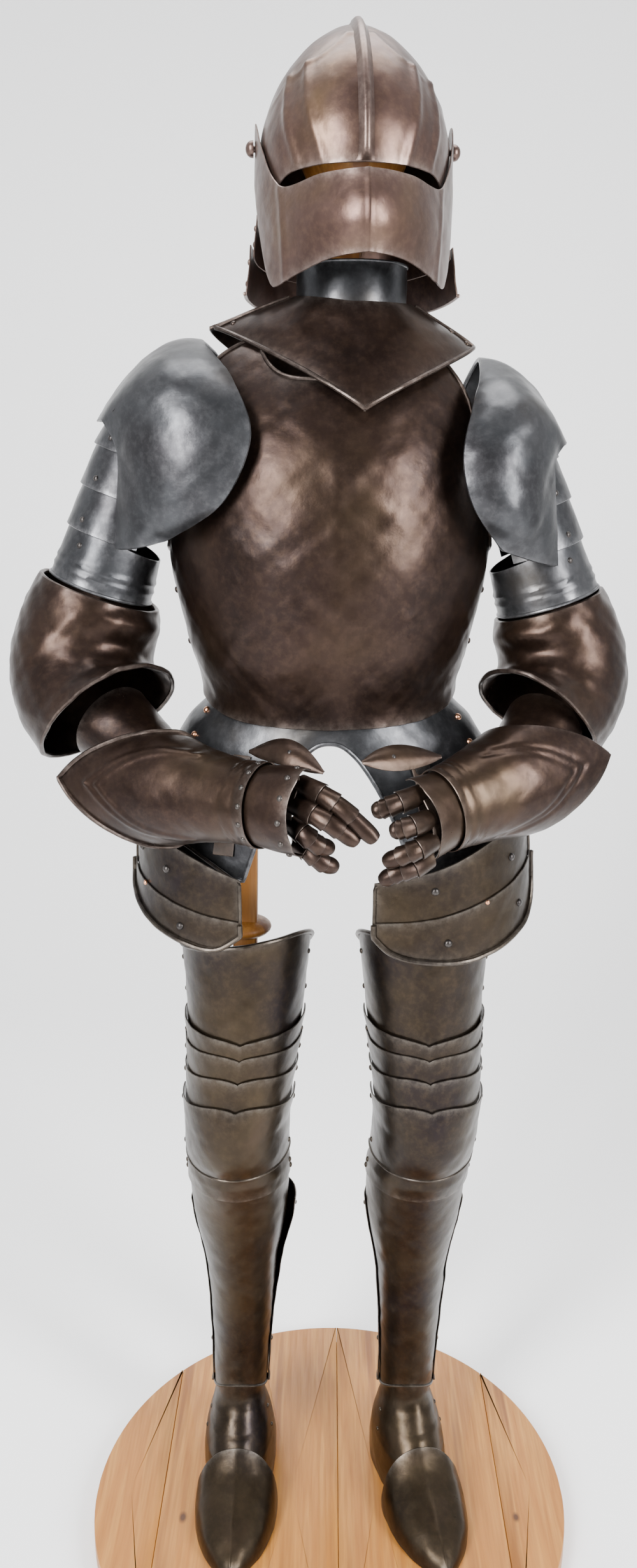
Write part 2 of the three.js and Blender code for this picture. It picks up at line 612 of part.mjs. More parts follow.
// ---------- shoulders ----------
// Ribs of the pauldron from its front wing over the shoulder to its back wing: the edge at the neck side,
// the crown of the rib, and the edge at the arm.
const pauldronRibs = {
  right: [
    { inner: [-176, -66, 1312], crown: [-212, -52, 1304], outer: [-237, -24, 1302] },
    { inner: [-112, -92, 1354], crown: [-180, -84, 1348], outer: [-232, -28, 1350] },
    { inner: [-82, -93, 1420], crown: [-168, -92, 1416], outer: [-228, -38, 1404] },
    { inner: [-100, -66, 1474], crown: [-178, -68, 1476], outer: [-244, -26, 1436] },
    { inner: [-126, -12, 1507], crown: [-190, -14, 1503], outer: [-255, 4, 1437] },
    { inner: [-142, 50, 1525], crown: [-198, 50, 1509], outer: [-260, 50, 1438] },
    { inner: [-126, 116, 1507], crown: [-190, 118, 1494], outer: [-252, 96, 1436] },
    { inner: [-104, 162, 1450], crown: [-176, 164, 1444], outer: [-236, 128, 1420] },
    { inner: [-118, 176, 1385], crown: [-176, 172, 1380], outer: [-230, 132, 1366] },
    { inner: [-160, 166, 1330], crown: [-196, 156, 1325], outer: [-226, 134, 1322] },
  ],
  left: [
    { inner: [186, -62, 1303], crown: [222, -44, 1290], outer: [255, -16, 1282] },
    { inner: [152, -84, 1350], crown: [206, -78, 1340], outer: [250, -22, 1334] },
    { inner: [141, -82, 1396], crown: [200, -80, 1396], outer: [246, -28, 1390] },
    { inner: [152, -52, 1448], crown: [212, -52, 1450], outer: [256, -18, 1412] },
    { inner: [164, -8, 1482], crown: [216, -4, 1474], outer: [262, 10, 1412] },
    { inner: [168, 50, 1506], crown: [220, 52, 1483], outer: [266, 52, 1412] },
    { inner: [160, 114, 1484], crown: [212, 116, 1468], outer: [258, 98, 1412] },
    { inner: [146, 160, 1434], crown: [206, 160, 1424], outer: [250, 128, 1396] },
    { inner: [146, 172, 1376], crown: [202, 166, 1366], outer: [248, 130, 1350] },
    { inner: [176, 164, 1322], crown: [218, 150, 1310], outer: [250, 128, 1304] },
  ],
};
const pauldronGrid = { along: 16, across: 4 };

function pauldron(side) {
  const ribs = pauldronRibs[side];
  const rails = ['inner', 'crown', 'outer'].map((name) =>
    new THREE.CatmullRomCurve3(ribs.map((rib) => point(...rib[name])), false, 'centripetal'));
  const grid = [];
  for (let i = 0; i <= pauldronGrid.along; i += 1) {
    const rib = new THREE.QuadraticBezierCurve3(...rails.map((rail) => rail.getPoint(i / pauldronGrid.along)));
    const lift = rib.v1.clone().multiplyScalar(2).addScaledVector(rib.v0, -0.5).addScaledVector(rib.v2, -0.5);
    rib.v1.copy(lift); // the middle control point that makes the rib pass through its crown
    grid.push(rib.getPoints(pauldronGrid.across));
  }
  if (side === 'right') grid.reverse();
  return wallOn(grid, wall.plate, false);
}
for (const side of sides) add(`pauldron_${side}`, pauldron(side), 'blued');

// ---------- upper arms ----------
// Levels run up the arm from the lower edge of the rerebrace, which goes all round. The lames above it reach
// round the outside of the arm and are open towards the body.
const armPlace = {
  right: { at: point(-268, 45, 1252), tilt: 20 },
  left: { at: point(257, 45, 1236), tilt: -18 },
};
const armRows = [
  { at: -10, half: 56, front: 61, back: 61 },
  { at: 155, half: 51, front: 56, back: 56 },
  { at: 200, half: 44, front: 49, back: 49 },
];
const armLames = [
  { name: 'arm_lame_3', low: 60, high: 120 },
  { name: 'arm_lame_2', low: 108, high: 167 },
  { name: 'arm_lame_1', low: 155, high: 190 },
];
const lameReach = 123.75;
const rerebrace = { outer: 72, inner: 52 };
for (const side of sides) {
  const arm = new THREE.Group();
  arm.position.copy(armPlace[side].at);
  arm.rotation.y = radians(armPlace[side].tilt);
  suit.add(arm);
  const outwards = side === 'right' ? -90 : 90;
  for (const { name, low, high } of armLames) {
    add(`${name}_${side}`, plate(ringForm(armRows, flare(high, low)), {
      from: outwards - lameReach, to: outwards + lameReach, low, high, across: 12, up: 1,
    }), 'blued', arm);
  }
  add(`rerebrace_${side}`, plate(ringForm(armRows, flare(rerebrace.outer, 0)), {
    low: 0, high: (turn) => between(rerebrace.outer, rerebrace.inner)((turn - outwards) / 2), across: 16, up: 1,
  }), 'blued', arm);
}

// ---------- elbows and forearms ----------
// The hand and cuff lie on one line; the vambrace leaves it at its own angle to reach the elbow.
const forearm = {
  right: { wrist: point(-92, -145, 1043), elbow: point(-272, -10, 1036), back: point(-0.59, -0.785, 0.185) },
  left: { wrist: point(123, -142, 1034), elbow: point(298, -5, 1068), back: point(0.57, -0.8, 0.2) },
};
const lowerArm = {
  right: { wrist: point(-172, -74, 1052), elbow: point(-262, 4, 1103), back: forearm.right.back },
  left: { wrist: point(200, -80, 1060), elbow: point(256, -4, 1100), back: forearm.left.back },
};
// A frame along a limb: up the arm, out of the back of the hand, and across towards the thumb.
function limbFrame(side, { wrist, elbow, back }) {
  const up = elbow.clone().sub(wrist).normalize();
  const out = back.clone().addScaledVector(up, -back.dot(up)).normalize();
  const thumb = up.clone().cross(out).multiplyScalar(side === 'right' ? 1 : -1);
  return { wrist, up, out, thumb };
}
// A point on a section of a limb: turn 0 is the back of the hand and 90 the thumb side.
const limbForm = (side, limb, rows) => {
  const { wrist, up, out, thumb } = limbFrame(side, limb);
  return (turn, level) => {
    const row = readTable(rows, level);
    return wrist.clone().addScaledVector(up, level)
      .addScaledVector(out, (Math.cos(radians(turn)) > 0 ? row.back : row.palm) * Math.cos(radians(turn)))
      .addScaledVector(thumb, row.half * Math.sin(radians(turn)));
  };
};
const cuffRows = [
  { at: -40, half: 48, back: 40, palm: 36 },
  { at: -10, half: 45, back: 38, palm: 34 },
  { at: 45, half: 51, back: 45, palm: 36 },
  { at: 110, half: 65, back: 57, palm: 44 },
  { at: 225, half: 78, back: 64, palm: 50 },
];
const cuffEnd = edge([
  { at: 0, z: 222 }, { at: 20, z: 196 }, { at: 45, z: 156 }, { at: 70, z: 120 }, { at: 95, z: 100 },
  { at: 135, z: 96 }, { at: 180, z: 100 },
]);
const vambraceRows = [
  { at: 0, half: 34, back: 35, palm: 34 },
  { at: 60, half: 40, back: 41, palm: 42 },
  { at: 125, half: 50, back: 52, palm: 54 },
];
const vambraceReach = { right: 118, left: 92 };
const handRows = [
  { at: -100, half: 46, back: 28, palm: 28 },
  { at: -60, half: 46, back: 33, palm: 33 },
  { at: 0, half: 40.5, back: 34.5, palm: 34.5 },
];
const handReach = {
  right: { low: -82, high: -14, cuff: -30, scale: 1 },
  left: { low: -36, high: 8, cuff: -6, scale: 0.9 },
};

for (const side of sides) {
  const reach = handReach[side];
  add(`gauntlet_cuff_${side}`, plate(limbForm(side, forearm[side], cuffRows), {
    low: reach.cuff, high: (turn) => reach.scale * cuffEnd(turn), across: 16, up: 4,
  }), 'russet');
  add(`vambrace_${side}`, plate(limbForm(side, lowerArm[side], vambraceRows), {
    low: 0, high: vambraceReach[side], across: 14, up: 2,
  }), 'russet');
  add(`gauntlet_hand_${side}`, plate(limbForm(side, forearm[side], handRows), {
    from: -100, to: 100, low: reach.low, high: reach.high, across: 10, up: 2,
  }), 'russet');
}

// The couter is a bent tube round the elbow. Its sections turn about an axis at the crook, from square to
// the upper arm: inner and outer are their distances from that axis, side is half their width along it.
const crook = 148;
const couterRows = [
  { at: 0, inner: 82, outer: 214, side: 67 },
  { at: 12, inner: 73, outer: 228, side: 73 },
  { at: 30, inner: 85, outer: 240, side: 78 },
  { at: 46, inner: 74, outer: 236, side: 79 },
  { at: 62, inner: 42, outer: 222, side: 77 },
];
// The swing at which it ends: 0 is the outside of the elbow, 90 the front, 180 the crook.
const couterEnd = (turn) => 58 + 5 * Math.sin(radians(turn)) - Math.cos(radians(turn));
const couterPlace = {
  right: { toHand: point(0.717, -0.677, -0.155), below: 5, scale: 1.06, front: 1 },
  left: { toHand: point(-0.717, -0.677, -0.155), below: 5, scale: 0.96, front: -1 },
};
function couter(side) {
  const { toHand, below, scale, front } = couterPlace[side];
  const tilt = radians(armPlace[side].tilt);
  const down = point(-Math.sin(tilt), 0, -Math.cos(tilt));
  const inwards = toHand.clone().addScaledVector(down, -toHand.dot(down)).normalize();
  const hinge = down.clone().cross(inwards);
  const axis = armPlace[side].at.clone().addScaledVector(down, below).addScaledVector(inwards, scale * crook);
  const form = (turn, level) => {
    const { inner, outer, side: half } = readTable(couterRows, level);
    const swing = radians(level);
    const out = inwards.clone().multiplyScalar(-Math.cos(swing)).addScaledVector(down, Math.sin(swing));
    const reach = (inner + outer) / 2 + (outer - inner) / 2 * Math.cos(radians(turn));
    return axis.clone().addScaledVector(out, scale * reach)
      .addScaledVector(hinge, scale * half * Math.sin(radians(turn)));
  };
  return plate(form, { low: 0, high: (turn) => couterEnd(turn * front), across: 16, up: 6 });
}
for (const side of sides) add(`couter_${side}`, couter(side), 'russet');

// ---------- fingers ----------
// Each finger is a gutter over the back of the finger, along a bent line from the knuckle to the tip.
const fingers = {
  right: [
    { name: 'index', line: [[-34, -178, 1074], [-8, -205, 1068], [12, -216, 1057], [46, -222, 1026]] },
    { name: 'middle', line: [[-40, -186, 1055], [-16, -213, 1050], [4, -221, 1040], [28, -219, 1022]] },
    { name: 'ring', line: [[-42, -184, 1033], [-28, -205, 1028], [-12, -208, 1016], [4, -200, 1008]] },
    { name: 'little', line: [[-36, -176, 1010], [-22, -192, 1004], [-8, -196, 993], [8, -190, 984]] },
  ],
  left: [
    { name: 'index', line: [[100, -168, 1060], [72, -192, 1056], [56, -197, 1051], [46, -196, 1048]] },
    { name: 'middle', line: [[110, -182, 1038], [86, -205, 1035], [72, -209, 1032], [64, -208, 1030]] },
    { name: 'ring', line: [[112, -188, 1016], [92, -210, 1012], [76, -213, 1006], [57, -207, 996]] },
    { name: 'little', line: [[108, -184, 995], [88, -200, 988], [70, -204, 983], [54, -200, 973]] },
  ],
};
const gutter = { half: 9.5, deep: 8.5, arc: 95, across: 4, steps: 4, wall: 1.5 };

function fingerGutter(line, back) {
  const path = new THREE.CatmullRomCurve3(line.map((spot) => point(...spot)), false, 'centripetal');
  const grid = Array.from({ length: gutter.across + 1 }, () => []);
  for (let j = 0; j <= gutter.steps; j += 1) {
    const spot = path.getPoint(j / gutter.steps);
    const ahead = path.getTangent(j / gutter.steps);
    const out = back.clone().addScaledVector(ahead, -back.dot(ahead)).normalize();
    const across = ahead.clone().cross(out);
    for (let i = 0; i <= gutter.across; i += 1) {
      const turn = radians(gutter.arc * (1 - 2 * i / gutter.across));
      grid[i].push(spot.clone().addScaledVector(out, gutter.deep * (Math.cos(turn) - 1))
        .addScaledVector(across, gutter.half * Math.sin(turn)));
    }
  }
  return wallOn(grid, gutter.wall, false);
}

// A band across the knuckles that the four fingers are riveted to.
function knuckleBand(lines, back) {
  const starts = lines.map((line) => point(...line[0]));
  const spread = starts[0].clone().sub(starts.at(-1)).normalize().multiplyScalar(gutter.half);
  const ahead = lines.map((line, i) => point(...line[1]).sub(starts[i]).normalize())
    .reduce((sum, way) => sum.add(way)).normalize();
  const rail = new THREE.CatmullRomCurve3([
    starts[0].clone().add(spread), ...starts, starts.at(-1).clone().sub(spread)], false, 'centripetal');
  const grid = rail.getPoints(band.across).map((spot) => [band.ahead, -band.behind].map((reach) =>
    spot.clone().addScaledVector(ahead, reach).addScaledVector(back, band.lift)));
  return wallOn(grid, gutter.wall, false);
}
const band = { across: 10, ahead: 6, behind: 5, lift: 0.5 };
const fingerBack = point(0, -0.94, 0.34);
for (const side of sides) {
  const lines = fingers[side].map(({ line }) => line);
  const gutters = lines.map((line) => fingerGutter(line, fingerBack));
  add(`gauntlet_fingers_${side}`, joined(knuckleBand(lines, fingerBack), ...gutters), 'russet');
}

export default model;
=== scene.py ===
# %% [markdown]
# # A suit of plate armour on a wooden stand
# The suit is a late medieval harness: about fifty plates of thin steel, each hammered over a stake until it
# fits the body, then riveted and strapped so that one plate slides over the next. It stands on a round pine
# board, on a frame of square timber that is mostly hidden inside.
#
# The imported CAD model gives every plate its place. Here each one is made again with the curves a hammer
# leaves: rolled edges, flutes, rivets, and a browned and blued skin.

import math

import bpy
import numpy as np
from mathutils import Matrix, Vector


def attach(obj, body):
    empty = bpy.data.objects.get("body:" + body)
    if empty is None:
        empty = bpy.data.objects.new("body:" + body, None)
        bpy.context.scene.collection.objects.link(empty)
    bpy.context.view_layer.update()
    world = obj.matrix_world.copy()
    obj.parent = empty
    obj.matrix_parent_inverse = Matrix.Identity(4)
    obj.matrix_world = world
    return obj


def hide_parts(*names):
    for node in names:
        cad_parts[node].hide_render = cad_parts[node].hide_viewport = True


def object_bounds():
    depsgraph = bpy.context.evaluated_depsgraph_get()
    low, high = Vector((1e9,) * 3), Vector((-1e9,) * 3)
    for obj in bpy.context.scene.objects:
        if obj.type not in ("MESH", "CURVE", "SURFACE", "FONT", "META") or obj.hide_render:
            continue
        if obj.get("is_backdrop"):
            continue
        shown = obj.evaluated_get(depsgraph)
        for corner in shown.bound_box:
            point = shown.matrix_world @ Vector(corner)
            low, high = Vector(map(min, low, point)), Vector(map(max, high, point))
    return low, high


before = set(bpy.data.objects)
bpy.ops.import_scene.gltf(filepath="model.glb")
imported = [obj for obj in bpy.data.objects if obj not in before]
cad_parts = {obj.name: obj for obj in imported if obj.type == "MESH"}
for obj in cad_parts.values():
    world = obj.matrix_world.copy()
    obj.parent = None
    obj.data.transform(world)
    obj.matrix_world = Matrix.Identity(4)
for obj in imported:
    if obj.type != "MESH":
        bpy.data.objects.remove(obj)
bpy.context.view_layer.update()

# %% [markdown]
# ## Reading a form from a short table
# An armourer works from a few sections: how wide and how deep the plate is at the neck, the chest, the waist.
# A short table holds those sections in millimetres, measured up from the top of the plinth, and a smooth
# curve through its rows gives every section between them. A cubic curve is used because straight lines
# between the rows would show as creases in polished steel.

# %% Short tables
PLINTH_TOP = 28  # mm, the height of the plinth; heights in the tables start from there
WALL, HEAVY, STRAP = 1.6, 2.0, 2.4  # mm, sheet for most plates, for breast and back, and strap leather
LAP = 4.2  # mm, how far the open end of a lame stands out over the next plate
SHARP_EDGE = 38  # degrees; faces that meet at a sharper angle keep a crisp edge between them


def rows_of(columns, *rows):
    """A short table, kept as one array for each named column."""
    return {name: np.array(values, float) for name, values in zip(columns.split(), zip(*rows))}


def read(rows, at):
    """Every column of a table at some value of its "at" column."""
    knots = rows["at"]
    at = np.asarray(at, float)
    spot = np.clip(at, knots[0], knots[-1])
    i = np.searchsorted(knots[1:-1], spot, side="left")
    before, after = np.maximum(i - 1, 0), np.minimum(i + 2, len(knots) - 1)
    span = knots[i + 1] - knots[i]
    t = (spot - knots[i]) / span
    found = {"at": at}
    for name, values in rows.items():
        if name == "at":
            continue
        slope_in = (values[i + 1] - values[before]) * span / (knots[i + 1] - knots[before])
        slope_out = (values[after] - values[i]) * span / (knots[after] - knots[i])
        found[name] = (
            values[i] * (2 * t**3 - 3 * t**2 + 1)
            + slope_in * (t**3 - 2 * t**2 + t)
            + values[i + 1] * (3 * t**2 - 2 * t**3)
            + slope_out * (t**3 - t**2)
        )
    return found


def edge(*rows):
    """The height of an edge at each turn, the same on both sides of the front."""
    heights = rows_of("at z", *rows)
    return lambda turn: read(heights, np.abs(turn))["z"]


def uneven_edge(*rows):
    """The height of an edge that differs from one side to the other."""
    heights = rows_of("at z", *rows)
    return lambda turn: read(heights, turn)["z"]


print("a wall of plate is", WALL, "mm thick, and of the breastplate", HEAVY, "mm")

# %% [markdown]
# ## Forms
# A form is the outer face of a plate as a function of two numbers: the turn round the body, 0 at the front
# and 90 at the suit's left, and the level along it. Plates of one limb share a form, which is why they nest.

# %% Forms from sections
def ring_point(row, turn):
    """A point on an oval section; "square" under 2 gives the oval a keel at the front."""
    s, c = np.sin(np.radians(turn)), np.cos(np.radians(turn))
    power = 2 / row.get("square", 2)
    side = np.sign(s) * np.abs(s) ** power
    ahead = np.sign(c) * np.abs(c) ** power
    depth = np.where(c > 0, row["front"], row["back"])
    height = row["z"] if "z" in row else row["at"]
    place = (row.get("x", 0) + row["half"] * side, row.get("y", 0) - depth * ahead, height)
    return np.stack(np.broadcast_arrays(*place), -1)


def grown(row, by):
    """The same section moved out all round."""
    return {**row, **{name: row[name] + by for name in ("half", "front", "back")}}


def ring_form(rows, grow=lambda level: 0):
    """The form through a table of sections, moved out by an amount that may change with the level."""
    return lambda turn, level: ring_point(grown(read(rows, level), grow(level)), turn)


def flare(flush_at, open_at, by=LAP):
    """Stands out over the next plate by the lap at one end of a lame."""
    return lambda level: by * np.clip((level - flush_at) / (open_at - flush_at), 0, 1)


def placed(form, origin, yaw=0, roll=0):
    """A form set down at an origin, turned about the upright (yaw) or about the line ahead (roll)."""
    a, b = np.radians(yaw), np.radians(roll)
    turn_z = np.array([[np.cos(a), -np.sin(a), 0], [np.sin(a), np.cos(a), 0], [0, 0, 1]])
    turn_y = np.array([[np.cos(b), 0, np.sin(b)], [0, 1, 0], [-np.sin(b), 0, np.cos(b)]])
    matrix = (turn_z @ turn_y).T
    return lambda turn, level: form(turn, level) @ matrix + np.array(origin, float)


def unit(v):
    """The same direction with a length of 1."""
    v = np.asarray(v, float)
    return v / np.maximum(np.linalg.norm(v, axis=-1, keepdims=True), 1e-9)


def spline(points, t):
    """A smooth curve through points, read at t from 0 to 1, that doesn't overshoot where they are close."""
    p = np.asarray(points, float)
    p = np.vstack([2 * p[0] - p[1], p, 2 * p[-1] - p[-2]])
    at = np.clip(np.asarray(t, float), 0, 1) * (len(p) - 3)
    i = np.minimum(at.astype(int), len(p) - 4)
    w = (at - i)[..., None]
    a, b, c, d = (p[i + k] for k in range(4))
    reach = [np.maximum(np.linalg.norm(v, axis=-1, keepdims=True), 1e-6) ** 0.5 for v in (b - a, c - b, d - c)]
    near = ((b - a) / reach[0] - (c - a) / (reach[0] + reach[1]) + (c - b) / reach[1]) * reach[1]
    far = ((c - b) / reach[1] - (d - b) / (reach[1] + reach[2]) + (d - c) / reach[2]) * reach[1]
    return (b * (2 * w**3 - 3 * w**2 + 1) + near * (w**3 - 2 * w**2 + w)
            + c * (3 * w**2 - 2 * w**3) + far * (w**3 - w**2))


oval = {"at": 0, "half": 50, "front": 40, "back": 40}
print("an oval 100 mm wide and 80 mm deep meets the front at", ring_point(oval, 0))

# %% [markdown]
# ## Hammer work
# Real plates are never quite even, because they were finished with many light blows. A few long waves, with
# fixed random starts so that they come out the same each time, move each plate by a fraction of a millimetre.
# Flutes, chevrons and folds are raised lines: the nearer a point is to the line, the further out it moves.

# %% Waves and raised lines
rng_phase = np.random.default_rng(7).uniform(0, 6.28, (6, 3))


def hammered(place, height=0.22):
    """The slight waves that planishing leaves, in mm."""
    waves = 0
    for k, phase in enumerate(rng_phase):
        size = 2 * np.pi / (34 + 11 * k)
        waves = waves + np.prod(np.sin(place * size * (1 + 0.13 * np.arange(3)) + phase), axis=-1)
    return height * waves


def along_path(place, path, width, height, sharp=1.5):
    """A raised line along a path on the plate: a flute, a chevron, or a groove if its height is below 0."""
    reach = np.full(place.shape[:-1], 1e9)
    for start in range(0, len(path), 40):
        step = path[start:start + 40]
        reach = np.minimum(reach, np.linalg.norm(place[..., None, :] - step, axis=-1).min(-1))
    return height * np.clip(1 - reach / width, 0, 1) ** sharp


def line_on(form, *stops, steps=60):
    """A path on a form through (turn, level) stops."""
    at = spline([(turn, level, 0) for turn, level in stops], np.linspace(0, 1, steps))
    return form(at[:, 0], at[:, 1])


print("the hammering moves a plate by up to about", 0.22 * len(rng_phase) / 4, "mm")

# %% [markdown]
# ## Gathering a piece
# A plate, its rolled edges and its rivets are gathered into one mesh, because on the real suit they are one
# fixed thing. Every point keeps its "wear", how near it is to an edge, and every face keeps which finish it
# has. The mesh then rides on a body of the CAD model and stands for one of its nodes.

# %% A piece and its mesh

class Piece:
    """One piece being made: points in mm above the plinth, faces, wear, and the finish of each face."""

    def __init__(self, name):
        self.name, self.points, self.faces, self.wear, self.coats, self.count = name, [], [], [], [], 0

    def add(self, points, faces, wear=0.0, coat=0):
        points = np.asarray(points, float).reshape(-1, 3)
        self.points.append(points)
        self.wear.append(np.broadcast_to(np.asarray(wear, float).reshape(-1), (len(points),)))
        for group in faces:
            self.faces += (np.asarray(group, int) + self.count).tolist()
            self.coats += [coat] * len(group)
        self.count += len(points)

    def make(self, finishes, node, body="suit", slot="russet_steel", up=PLINTH_TOP):
        """Turns it into a Blender mesh in metres, rides it on a body, and hides the CAD node that it replaces.
        """
        mesh = bpy.data.meshes.new(self.name)
        points = (np.vstack(self.points) + [0, 0, up]) / 1000
        mesh.from_pydata(points.tolist(), [], self.faces)
        for finish in finishes:
            mesh.materials.append(finish)
        mesh.polygons.foreach_set("material_index", self.coats)
        worn = mesh.attributes.new("wear", "FLOAT", "POINT")
        worn.data.foreach_set("value", np.concatenate(self.wear).astype(np.float32))
        mesh.shade_smooth()
        mesh.set_sharp_from_angle(angle=math.radians(SHARP_EDGE))
        obj = bpy.data.objects.new(self.name, mesh)
        bpy.context.scene.collection.objects.link(obj)
        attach(obj, body)
        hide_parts(node)
        return obj


def hoop_faces(rings, sides):
    """Faces between rings of points that lie one above the other."""
    k, n = np.arange(sides), (np.arange(sides) + 1) % sides
    return [np.stack([r + k, r + n, r + sides + n, r + sides + k], -1)
            for r in range(0, (rings - 1) * sides, sides)]


def cap_faces(start, sides, tip, upward=True):
    """A fan of faces that closes the ring which begins at start with the point numbered tip."""
    k, n = start + np.arange(sides), start + (np.arange(sides) + 1) % sides
    return np.stack([*((k, n) if upward else (n, k)), np.full(sides, tip)], -1)


print("a ring of 12 points closes with", len(cap_faces(0, 12, 12)), "faces")

# %% [markdown]
# ## Walls of plate
# A plate is a thin wall: an outer face, an inner face one sheet's thickness behind it, and a rounded edge
# between them. Blender's Solidify modifier could thicken a sheet, but building both faces here keeps the
# edges as named sides, low, high, start and end, so that each can be rolled by itself.

# %% Walls and their edges
def normals_of(grid, ring):
    """The way out of a plate at each point of its grid."""
    wide = np.roll(grid, -1, 0) - np.roll(grid, 1, 0)
    if not ring:
        wide[0], wide[-1] = grid[1] - grid[0], grid[-1] - grid[-2]
    along = np.gradient(grid, axis=1)
    return unit(np.cross(wide, along))


def loops_of(columns, rows, ring):
    """The edges of a grid as closed loops of (i, j), each with the name of the side it is on."""
    up_from = [(i, 0, "low") for i in range(columns)]
    up_to = [(i, rows - 1, "high") for i in range(columns)]
    if ring:
        return [up_from, up_to[::-1]]
    end = [(columns - 1, j, "end") for j in range(1, rows - 1)]
    start = [(0, j, "start") for j in range(1, rows - 1)]
    return [up_from + end + up_to[::-1] + start[::-1]]


WORN_BAND = 5  # mm, how far in from an edge the finish is rubbed


def wall(piece, grid, ring=False, thick=WALL, relief=None, turn=None, level=None, dents=0.22, coat=0):
    """Adds a wall on a grid of outer points, and returns its edges for rolling."""
    normal = normals_of(grid, ring)
    raised = hammered(grid, dents)
    if relief is not None:
        raised = raised + relief(turn, level, grid)
    outer = grid + normal * raised[..., None]
    normal = normals_of(outer, ring)
    inner = outer - normal * thick
    columns, rows = grid.shape[:2]
    far = np.linalg.norm(np.diff(outer, axis=1), axis=-1)
    climb = np.concatenate([np.zeros((columns, 1)), np.cumsum(far, 1)], 1)
    nearest = np.minimum(climb, climb[:, -1:] - climb)
    if not ring:
        wide = np.linalg.norm(np.diff(outer, axis=0), axis=-1)
        across = np.concatenate([np.zeros((1, rows)), np.cumsum(wide, 0)])
        nearest = np.minimum(nearest, np.minimum(across, across[-1:] - across))
    wear = np.exp(-nearest / WORN_BAND)
    loops, rims = loops_of(columns, rows, ring), []
    spans = columns if ring else columns - 1
    i, j = np.meshgrid(np.arange(spans), np.arange(rows - 1), indexing="ij")
    i, j, k = i.ravel(), j.ravel(), (i.ravel() + 1) % columns
    a, b, c, d = i * rows + j, k * rows + j, k * rows + j + 1, i * rows + j + 1
    shift = columns * rows
    faces = [np.stack([a, b, c, d], -1), np.stack([a, d, c, b], -1) + shift]
    points, start = [outer.reshape(-1, 3), inner.reshape(-1, 3)], 2 * shift
    worn = [wear.ravel(), wear.ravel() * 0.3]
    for loop in loops:
        at = np.array([(p, q) for p, q, _ in loop])
        spot, out = outer[at[:, 0], at[:, 1]], normal[at[:, 0], at[:, 1]]
        way = np.roll(spot, -1, 0) - np.roll(spot, 1, 0)
        away = unit(np.cross(way, out))
        middle = spot - out * thick / 2 + away * thick * 0.4
        on_outer = at[:, 0] * rows + at[:, 1]
        on_middle = start + np.arange(len(loop))
        ahead = np.roll(np.arange(len(loop)), -1)
        faces.append(np.stack([on_outer, on_middle, on_middle[ahead], on_outer[ahead]], -1))
        faces.append(np.stack([on_middle, on_outer + shift, on_outer[ahead] + shift, on_middle[ahead]], -1))
        points.append(middle)
        worn.append(np.ones(len(loop)))
        start += len(loop)
        rims.append({"spot": spot, "out": out, "away": away, "side": [name for _, _, name in loop]})
    piece.add(np.vstack(points), faces, np.concatenate(worn), coat)
    return rims


print("the finish is rubbed up to about", 3 * WORN_BAND, "mm in from an edge")

# %% [markdown]
# ## Rolled edges
# An armourer stiffens an edge by rolling it outwards over a wire. A curve with a bevel would give such a rod
# in Blender; here it is swept along the plate's own edge points, so that it sits exactly on the plate.

# %% Rods and rolled edges
def tube(piece, path, radius, closed=False, sides=9, wear=0.7, coat=0, out=None):
    """A round rod swept along a path; out fixes where the first of its sides is."""
    path = np.asarray(path, float)
    way = np.roll(path, -1, 0) - np.roll(path, 1, 0)
    if not closed:
        way[0], way[-1] = path[1] - path[0], path[-1] - path[-2]
    way = unit(way)
    if out is None:
        out = np.zeros_like(way)
        out[:] = np.eye(3)[np.argmin(np.abs(way).max(0))]
    first = unit(out - way * np.sum(out * way, -1, keepdims=True))
    second = np.cross(way, first)
    angle = np.linspace(0, 2 * np.pi, sides, endpoint=False)
    ring = first[:, None] * np.cos(angle)[None, :, None] + second[:, None] * np.sin(angle)[None, :, None]
    thick = np.broadcast_to(np.asarray(radius, float), (len(path),))[:, None, None]
    points = (path[:, None] + ring * thick).reshape(-1, 3)
    count = len(path)
    i, j = np.meshgrid(np.arange(count if closed else count - 1), np.arange(sides), indexing="ij")
    i, j = i.ravel(), j.ravel()
    ni, nj = (i + 1) % count, (j + 1) % sides
    faces = [np.stack([i * sides + j, i * sides + nj, ni * sides + nj, ni * sides + j], -1)]
    if not closed:
        tips = np.stack([path[0] - way[0] * thick[0, 0] * 0.5, path[-1] + way[-1] * thick[-1, 0] * 0.5])
        k = np.arange(sides)
        last = (count - 1) * sides
        faces.append(np.stack([(k + 1) % sides, k, np.full(sides, count * sides)], -1))
        faces.append(np.stack([last + k, last + (k + 1) % sides, np.full(sides, count * sides + 1)], -1))
        points = np.vstack([points, tips])
    piece.add(points, faces, wear, coat)


def even_steps(points, step, closed):
    """The same path with points at even steps, so that a swept rod doesn't fold at a corner."""
    points = np.vstack([points, points[:1]]) if closed else points
    length = np.concatenate([[0], np.cumsum(np.linalg.norm(np.diff(points, axis=0), axis=-1))])
    count = max(3, int(length[-1] / step))
    at = np.linspace(0, length[-1], count, endpoint=not closed)
    return np.stack([np.interp(at, length, points[:, k]) for k in range(points.shape[1])], -1)


ROLL_STEP = 4.0  # mm between the sections of a rolled edge


def roll(piece, rims, sides, radius=2.4, coat=0):
    """Rolls the named sides of a plate's edge outwards over a wire."""
    for rim in rims:
        chosen = np.array([name in sides for name in rim["side"]])
        if not chosen.any():
            continue
        closed = chosen.all()
        order = np.arange(len(chosen))
        if not closed:
            gap = int(np.argmin(chosen))
            order = np.roll(order, -gap)
            order = order[chosen[order]]
        centre = (rim["spot"] + rim["out"] * (radius - WALL) - rim["away"] * radius * 0.35)[order]
        both = even_steps(np.hstack([centre, rim["out"][order]]), ROLL_STEP, closed)
        tube(piece, both[:, :3], radius, closed, out=both[:, 3:], coat=coat)


print("rolled edges are ready")

